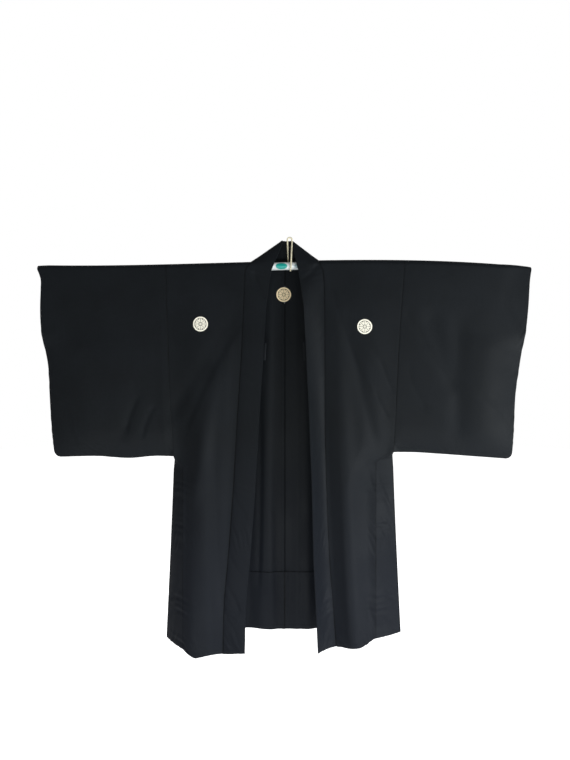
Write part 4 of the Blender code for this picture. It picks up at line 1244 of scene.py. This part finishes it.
class HAORI_OT_body_lengths(Operator):
    """Lay the two body lengths from front hem over the rod to back hem"""

    bl_idname = "haori.body_lengths"
    bl_label = "Body lengths"

    def execute(self, context):
        front_shares = spaced(50)
        count = len(front_shares)
        across = np.concatenate([front_shares, 1.0 + np.linspace(0.0, 1.0, 26)[1:]])
        skirt = 1.0 + np.linspace(0.0, 1.0, 112)[1:-1]
        levels = np.concatenate([np.linspace(0.0, 1.0, 118), skirt, [1.992, 2.0]])
        row = np.concatenate([row_at(levels[::-1]), (ARC - 180.0) / ROW_DEGREES])
        forward = np.arange(len(row)) < len(levels) + np.count_nonzero(ARC > FRONT_DEGREES)
        first = len(levels) + np.count_nonzero(ARC > BACK_DEGREES)
        corner = slice(np.count_nonzero(forward), first)
        allowance, neck = slice(count, count + 3), slice(count + 3, None)
        turned = [0.02, 0.02 + 0.4 * ALLOWANCE / BAND_WIDTH, 0.02 + ALLOWANCE / BAND_WIDTH]
        for side in SIDES:
            front = front_place(side, *np.meshgrid(np.minimum(across, 1.0), levels[::-1]))
            over = over_rod(side, *np.meshgrid(across, ARC))
            spots = np.concatenate([front, over, back_place(side, *np.meshgrid(across, levels))])
            hidden = behind_band(side, *np.meshgrid(turned, row))
            spots[: len(row), allowance][forward] = hidden[forward]
            spots[corner, allowance] = self.corner_allowance(side, turned)
            spots[first - 1, neck] = self.neck_allowance(side, across[neck] - 1.0)
            keep = np.ones(spots.shape[:2], bool)
            keep[: first - 1, count:] = False
            keep[:first, allowance] = True
            if side == "left":
                spots, keep = self.lapped(spots, keep, first)
            seams = edge_closeness(spots, (0,))
            collar = edge_closeness(spots[: len(row)], (count - 1,))
            centre = edge_closeness(spots[len(row) :], (len(across) - 1,))
            seams = np.maximum(seams, np.concatenate([collar, centre]))
            cloth = laid_cloth("cloth_body_" + side, spots, keep, seams)
            thickened(cloth, CLOTH)
            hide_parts("body_" + side)
        return {"FINISHED"}

    def neck_allowance(self, side, along):
        """The back's upper edge, turned up inside the band."""
        neck = band_back_place(side, np.full_like(along, ALLOWANCE / BAND_WIDTH), along)
        neck[:, 1] -= BAND_LAP
        return neck

    def corner_allowance(self, side, across):
        """Past the top of the rod, the edge turned up into the band at its crease."""
        angles = ARC[(ARC < FRONT_DEGREES) & (ARC > BACK_DEGREES)]
        across, share = np.meshgrid(across, np.clip((90.0 - angles) / NECK_DEGREES, 0.0, 1.0))
        ahead = band_front_place(side, across, np.full_like(across, CREASE_ROW))
        behind = band_back_place(side, across, np.zeros_like(across))
        return between(ahead, behind, share[..., None])

    def lapped(self, spots, keep, first):
        """Carries the centre seam's allowance on across the inside of the other half."""
        last = spots[:, -1:]
        added = []
        for reach in (0.0008, ALLOWANCE * 0.5, ALLOWANCE):
            x = np.full_like(last[..., 0], CENTRE_X - reach)
            y = back_depth("right", x, last[..., 2]) - LAP
            added.append(place(x, y, last[..., 2]))
        held = np.zeros((len(keep), len(added)), bool)
        held[first + 1 :] = True
        crest = bpy.context.scene.haori_sizes.crest / 2 + CREST_CLEAR
        held &= np.abs(last[..., 2] - CREST_BACK_Z) > crest
        return np.concatenate([spots, *added], axis=1), np.concatenate([keep, held], axis=1)


class HAORI_OT_sleeves(Operator):
    """Lay the two bag sleeves over the rod"""

    bl_idname = "haori.sleeves"
    bl_label = "Sleeves"

    def execute(self, context):
        across = spaced(84)
        across[0] = SEAM / SLEEVE_WIDTH
        down = np.concatenate([np.linspace(0.0, 0.93, 112), np.linspace(0.93, 1.0, 22)[1:]])
        angle = np.radians(ARC)[:, None]
        for side in SIDES:
            front = sleeve_place(side, *np.meshgrid(across, down[::-1]), -1)
            back = sleeve_place(side, *np.meshgrid(across, down), 1)
            x, y, z = np.moveaxis(front[-1:], -1, 0)
            over = place(x, -y * np.cos(angle), z - y * np.sin(angle))
            spots = np.concatenate([front, over, back])
            spots = np.concatenate([self.turned_in(side, spots, len(down), angle), spots], axis=1)
            cloth = laid_cloth("cloth_sleeve_" + side, spots, None, edge_closeness(spots, (3,)))
            thickened(cloth, CLOTH)
            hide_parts("sleeve_" + side)
        return {"FINISHED"}

    def turned_in(self, side, spots, count, angle):
        """The armhole's allowance, which lies against the inside of the body."""
        edge = spots[:, :1]
        columns = []
        for reach in (ALLOWANCE, ALLOWANCE * 0.5, 0.0007):
            x = edge[..., 0] - np.copysign(reach, edge[..., 0])
            y, z = edge[..., 1].copy(), edge[..., 2].copy()
            y[:count] = front_depth(side, x[:count], z[:count]) + LAP
            y[-count:] = back_depth(side, x[-count:], z[-count:]) - LAP
            y[count:-count] = (FOLD_RADIUS - LAP) * np.cos(angle)
            z[count:-count] = fold_z(x[count:-count]) + (FOLD_RADIUS - LAP) * np.sin(angle)
            columns.append(place(x, y, z))
        return np.concatenate(columns, axis=1)


class HAORI_OT_gussets(Operator):
    """Set the side strips between front and back"""

    bl_idname = "haori.gussets"
    bl_label = "Gussets"

    def execute(self, context):
        shares = spaced(18, (0.012, 0.04))
        levels = 1.0 + np.linspace(0.0, 1.0, 112)
        for side in SIDES:
            front = front_place(side, np.zeros_like(levels), levels)
            back = back_place(side, np.zeros_like(levels), levels)
            width = np.linalg.norm(back - front, axis=1)[:, None]
            start = np.minimum(GUSSET_FRONT_INSET / width, 0.25)
            stop = 1.0 - np.minimum(GUSSET_BACK_INSET / width, 0.30)
            share = between(start, stop, shares[None, :])
            arched = np.sin(math.pi * share)
            spots = between(front[:, None, :], back[:, None, :], share[..., None])
            bulge = GUSSET_BULGE * width * arched
            crinkle = puckers("gusset", spots[..., 2], share * width) * arched
            spots[..., 0] += np.copysign(bulge + crinkle, spots[..., 0])
            spots[..., 1] -= raised(GUSSET_CREASES, spots[..., 0], spots[..., 2]) * arched
            spots[0, :, 2] -= GUSSET_DROP
            flanges = self.flange(side, front, 1), self.flange(side, back, -1)
            spots = np.concatenate([flanges[0], spots, flanges[1]], axis=1)
            seams = GUSSET_SHADE * edge_closeness(spots, (3, spots.shape[1] - 4))
            cloth = laid_cloth("cloth_gusset_" + side, spots, None, seams)
            thickened(cloth, CLOTH)
            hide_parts("gusset_" + side)
        return {"FINISHED"}

    def flange(self, side, edge, inside):
        """A seam allowance that lies inside the front (inside is 1) or the back (-1)."""
        depth = front_depth if inside > 0 else back_depth
        columns = []
        for reach in (ALLOWANCE, ALLOWANCE * 0.5, 0.0009):
            x = edge[:, :1] - np.copysign(reach, edge[:, :1])
            columns.append(place(x, depth(side, x, edge[:, 2:]) + inside * LAP, edge[:, 2:]))
        return np.concatenate(columns[::inside], axis=1)


class HAORI_OT_collar_band(Operator):
    """Run the doubled band up one front, behind the neck and down the other"""

    bl_idname = "haori.collar_band"
    bl_label = "Collar band"

    def execute(self, context):
        across = spaced(18, (0.012, 0.04))
        upper, lower = np.linspace(-1.9, 6.0, 96), np.linspace(6.0, len(LEVELS) - 1.0, 165)[1:]
        rows = np.concatenate([[CREASE_ROW], upper, lower])
        along = np.linspace(0.0, 1.0, 30)[1:]
        halves = []
        for side in SIDES:
            front = band_front_place(side, *np.meshgrid(across, rows[::-1]))
            behind = band_back_place(side, *np.meshgrid(across, along))
            halves.append(np.concatenate([front, behind]))
        middle = (halves[0][-1:] + halves[1][-1:]) / 2.0
        spots = np.concatenate([halves[0][:-1], middle, halves[1][:-1][::-1]])
        cloth = laid_cloth("cloth_collar_band", spots, None, edge_closeness(spots, (0,)))
        thickened(cloth, BAND_CLOTH)
        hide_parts("collar_band")
        return {"FINISHED"}


class HAORI_OT_hem_turnups(Operator):
    """Turn up the deep back hem on the inside"""

    bl_idname = "haori.hem_turnups"
    bl_label = "Hem turn-ups"

    def execute(self, context):
        across = np.concatenate([np.linspace(0.03, 1.0, 50), 1.0 + np.linspace(0.0, 1.0, 30)[1:]])
        shares = np.concatenate([np.linspace(0.0, 0.97, 40), [0.985, 0.995, 1.0]])
        grid = np.meshgrid(across, shares)
        edge = TURNUP_EDGE * smooth((grid[1] - 1.0 + TURNUP_EDGE_EASE) / TURNUP_EDGE_EASE)
        for side in SIDES:
            low = back_place(side, grid[0], np.full_like(grid[0], 2.0))
            z = between(low[..., 2] + TURNUP_LIFT, TURNUP_TOP_Z, grid[1])
            x = back_x(side, grid[0], z)
            past = (np.abs(x - CENTRE_X) - ALLOWANCE) / TURNUP_RIDGE_EASE
            ridge = TURNUP_RIDGE * smooth(1.0 - past)
            spots = place(x, back_depth(side, x, z) - TURNUP_OFFSET - ridge - edge, z)
            seams = edge_closeness(spots, (spots.shape[1] - 1,), (len(spots) - 1,))
            cloth = laid_cloth("cloth_turnup_" + side, spots, None, seams)
            thickened(cloth, CLOTH)
            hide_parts("hem_turnup_" + side)
        return {"FINISHED"}


class HAORI_OT_cord_loops(Operator):
    """Fold the two small loops for a haori cord"""

    bl_idname = "haori.cord_loops"
    bl_label = "Cord loops"

    def execute(self, context):
        # down the front of the loop, round its foot and up its back
        turn = np.linspace(0.0, math.pi, 13)
        rounded = LOOP_GAP * (1.0 - np.cos(turn))
        back = np.concatenate([np.zeros(10), rounded, np.full(10, 2 * LOOP_GAP)])[:, None]
        down = np.linspace(0.0, 0.96, 10) * -LOOP_LENGTH
        up = np.linspace(0.96, 0.0, 10) * -LOOP_LENGTH
        drop = np.concatenate([down, -LOOP_LENGTH - LOOP_GAP * np.sin(turn), up])[:, None]
        shares = np.linspace(-0.5, 0.5, 7)[None, :]
        faces = np.cos(np.linspace(0.0, math.pi, len(drop)))[:, None]
        crown = LOOP_CROWN * (1.0 - (2.0 * shares) ** 2) * faces
        for side in SIDES:
            edge, below = (band_edge_place(side, np.array(row)) for row in LOOP_ROWS)
            inward = math.copysign(LOOP_INWARD, CENTRE_X - edge[0])
            slope = (below[0] - edge[0]) / (below[2] - edge[2])
            x = edge[0] + inward + slope * drop + shares * LOOP_WIDTH
            y = edge[1] + BAND_CLOTH / 2 + LOOP_BEHIND + back - crown
            cloth = laid_cloth("cloth_loop_" + side, place(x, y, LOOP_TOP_Z + drop))
            thickened(cloth, LOOP_CLOTH)
            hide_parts("cord_loop_" + side)
        return {"FINISHED"}


def wall_depth(crest, x, z):
    """Depth of the wall that a crest is on."""
    if crest.panel == "front":
        return front_depth(crest.side, x, z)
    if crest.panel == "back":
        return np.where(x > CENTRE_X, back_depth("left", x, z), back_depth("right", x, z))
    low = bottom_z(SLEEVE_BOTTOM, crest.side, 0.5)
    armhole = edge_x(ARMHOLE, crest.side, z)
    across = (x - armhole) / (cuff_x(crest.side, z, low) - armhole)
    top = fold_z(sleeve_top_x(crest.side, across))
    down = (top - z) / (top - bottom_z(SLEEVE_BOTTOM, crest.side, across))
    return sleeve_place(crest.side, across, down, 1)[..., 1]


class HAORI_OT_crests(Operator):
    """Set the five crests, and the back one's inner face"""

    bl_idname = "haori.crests"
    bl_label = "Crests"

    def execute(self, context):
        colours = context.scene.haori_colours
        finishes = {1: ("crest_ivory", colours.crest), -1: ("crest_inside", colours.crest_inside)}
        radius = context.scene.haori_sizes.crest / 2
        turns, rings = np.meshgrid(np.linspace(0.0, 2.0 * math.pi, 61), np.linspace(0.03, 1.0, 14))
        u, v = rings * np.cos(turns), rings * np.sin(turns)
        for crest in CRESTS:
            x, z = crest.x + radius * u, crest.z + radius * v
            out = -1.0 if crest.panel == "front" or crest.outward < 0 else 1.0
            y = wall_depth(crest, x, z) + out * (CLOTH / 2 + CREST_LIFT)
            patch = laid_cloth(crest.name, place(x, y, z))
            corner = corners_of(patch.data)
            spread = np.stack([u.ravel()[corner], v.ravel()[corner]], axis=1)
            disc = patch.data.uv_layers["cut"]
            disc.data.foreach_set("uv", spread.ravel())
            disc.name = "disc"
            edited(merged(0.00001))
            points = np.array([vertex.co[:] for vertex in patch.data.vertices])
            picked(patch, np.hypot(points[:, 0] - crest.x, points[:, 2] - crest.z) < radius * 0.04)
            edited(("edge_face_add", {}), ("select_all", {"action": "SELECT"}), OUTWARD, whole=False)
            facing = sum(polygon.normal.y * polygon.area for polygon in patch.data.polygons)
            if facing * out < 0:
                edited(("flip_normals", {}))
            modified(patch, "wall", "SOLIDIFY", thickness=CREST_LIFT, offset=-1.0)
            bpy.ops.object.shade_smooth_by_angle(angle=math.radians(50))
            finished(patch, crest_finish(*finishes[crest.outward]))
        return {"FINISHED"}


class HAORI_OT_rod(Operator):
    """Draw out the rod, round its ends and give it its plain oval patch"""

    bl_idname = "haori.rod"
    bl_label = "Rod"

    def execute(self, context):
        stations = np.linspace(*ROD_ENDS, 49)
        start = (ROD_ENDS[0], 0.0, rod_z(ROD_ENDS[0]))
        rod = added_disc("rod_coated", start, 40, ROD_RADIUS - 0.0001, (0.0, math.pi / 2, 0.0))
        moves = []
        for first, second in zip(stations[:-1], stations[1:]):
            move = (second - first, 0.0, rod_z(second) - rod_z(first))
            moves.append(("extrude_region_move", {"TRANSFORM_OT_translate": {"value": move}}))
        edited(*moves, ("select_all", {"action": "SELECT"}), OUTWARD)
        modified(rod, "rounding", "BEVEL", width=ROD_ROUNDING, segments=4, **SHARP)
        bpy.ops.object.shade_smooth_by_angle(angle=math.radians(50))
        finished(rod, rod_finish())
        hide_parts("rod")
        return {"FINISHED"}


# ---------------------------------------------------------------- stage


def added_disc(name, spot, sides, radius, turn=(0.0, 0.0, 0.0)):
    """A flat disc, with its place and turn moved into its mesh."""
    bpy.ops.object.select_all(action="DESELECT")
    bpy.ops.mesh.primitive_circle_add(
        vertices=sides, radius=radius, fill_type="NGON", location=spot, rotation=turn
    )
    ob = bpy.context.active_object
    ob.name = name
    ob.data.name = name
    bpy.ops.object.transform_apply(location=True, rotation=True, scale=True)
    return ob


def area_light(name, spot, target, size, energy, colour):
    data = bpy.data.lights.new(name, "AREA")
    data.shape = "RECTANGLE"
    data.size, data.size_y = size
    data.energy = energy
    data.color = colour
    lamp = bpy.data.objects.new(name, data)
    bpy.context.scene.collection.objects.link(lamp)
    lamp.location = spot
    lamp.rotation_euler = (Vector(target) - Vector(spot)).to_track_quat("-Z", "Y").to_euler()


class HAORI_OT_stage(Operator):
    """Set the camera, the soft lights and a plain pale floor"""

    bl_idname = "haori.stage"
    bl_label = "Stage"

    def execute(self, context):
        scene = context.scene
        camera_data = bpy.data.cameras.new("camera")
        camera_data.sensor_width = 36.0
        camera_data.lens = 27.86
        camera = bpy.data.objects.new("camera", camera_data)
        camera.location = (-0.0120, -1.5, -0.3613)
        camera.rotation_euler = (math.radians(90), 0.0, 0.0)
        scene.collection.objects.link(camera)
        scene.camera = camera
        scene.view_settings.view_transform = "Standard"

        floor = added_disc("floor", (0.0, 0.0, CAD_BOX[0][2] - 0.42), 96, 9.0)
        floor.data.materials.append(self.floor_finish())

        middle = (0.0, 0.0, -0.5)
        area_light("window_right", (1.9, -1.4, -0.7), middle, (0.8, 1.4), 48.0, (0.90, 0.96, 1.0))
        area_light("window_front", (-0.10, -1.7, -1.50), middle, (2.0, 0.9), 42.0, (0.92, 0.99, 1.0))
        area_light("back_light", (-0.9, 2.4, 0.2), middle, (1.4, 1.6), 34.0, (1.0, 1.0, 1.0))
        self.sky(scene)
        return {"FINISHED"}

    def floor_finish(self):
        """Pale floor that runs out into the white of the studio."""
        pale = Finish("pale_floor")
        grain = pale.noise(pale.spot(), 3.0, 2.0)
        return pale.surface(
            Base_Color=pale.mixed(grain, (0.80, 0.80, 0.80), (0.86, 0.86, 0.86)),
            Roughness=0.9,
            Emission_Color=(1.0, 1.0, 1.0, 1.0),
            Emission_Strength=seen_bright(pale.tree, 0.28, 1.0),
        )

    def sky(self, scene):
        """Even white studio air, seen as white and lighting softly."""
        world = bpy.data.worlds.new("studio")
        scene.world = world
        world.use_nodes = True
        tree = world.node_tree
        background = tree.nodes["Background"]
        background.inputs["Color"].default_value = (1.0, 1.0, 1.0, 1.0)
        tree.links.new(seen_bright(tree, 0.25, 1.0), background.inputs["Strength"])


def seen_bright(tree, lighting, seen):
    """A strength that is one value as light on things and another as seen directly."""
    path = tree.nodes.new("ShaderNodeLightPath")
    strength = tree.nodes.new("ShaderNodeMapRange")
    strength.inputs["To Min"].default_value = lighting
    strength.inputs["To Max"].default_value = seen
    tree.links.new(path.outputs["Is Camera Ray"], strength.inputs["Value"])
    return strength.outputs["Result"]


# ---------------------------------------------------------------- the add-on

STEPS = (
    HAORI_OT_stage,
    HAORI_OT_hanging_cord,
    HAORI_OT_rod,
    HAORI_OT_body_lengths,
    HAORI_OT_sleeves,
    HAORI_OT_gussets,
    HAORI_OT_collar_band,
    HAORI_OT_hem_turnups,
    HAORI_OT_cord_loops,
    HAORI_OT_crests,
)


class HAORI_PT_panel(Panel):
    """The haori's sizes, colours and pieces"""

    bl_idname = "HAORI_PT_panel"
    bl_label = "Haori"
    bl_space_type = "VIEW_3D"
    bl_region_type = "UI"
    bl_category = "Haori"

    def draw(self, context):
        for group in (context.scene.haori_sizes, context.scene.haori_colours):
            box = self.layout.box()
            for name in group.__annotations__:
                box.prop(group, name)
        for step in STEPS:
            self.layout.operator(step.bl_idname)


CLASSES = (HaoriSizes, HaoriColours, *STEPS, HAORI_PT_panel)


def register():
    for cls in CLASSES:
        bpy.utils.register_class(cls)
    bpy.types.Scene.haori_sizes = PointerProperty(type=HaoriSizes)
    bpy.types.Scene.haori_colours = PointerProperty(type=HaoriColours)


def unregister():
    del bpy.types.Scene.haori_colours
    del bpy.types.Scene.haori_sizes
    for cls in reversed(CLASSES):
        bpy.utils.unregister_class(cls)


def main():
    register()
    for step in STEPS:
        family, action = step.bl_idname.split(".")
        getattr(getattr(bpy.ops, family), action)()


if __name__ == "__main__":
    main()
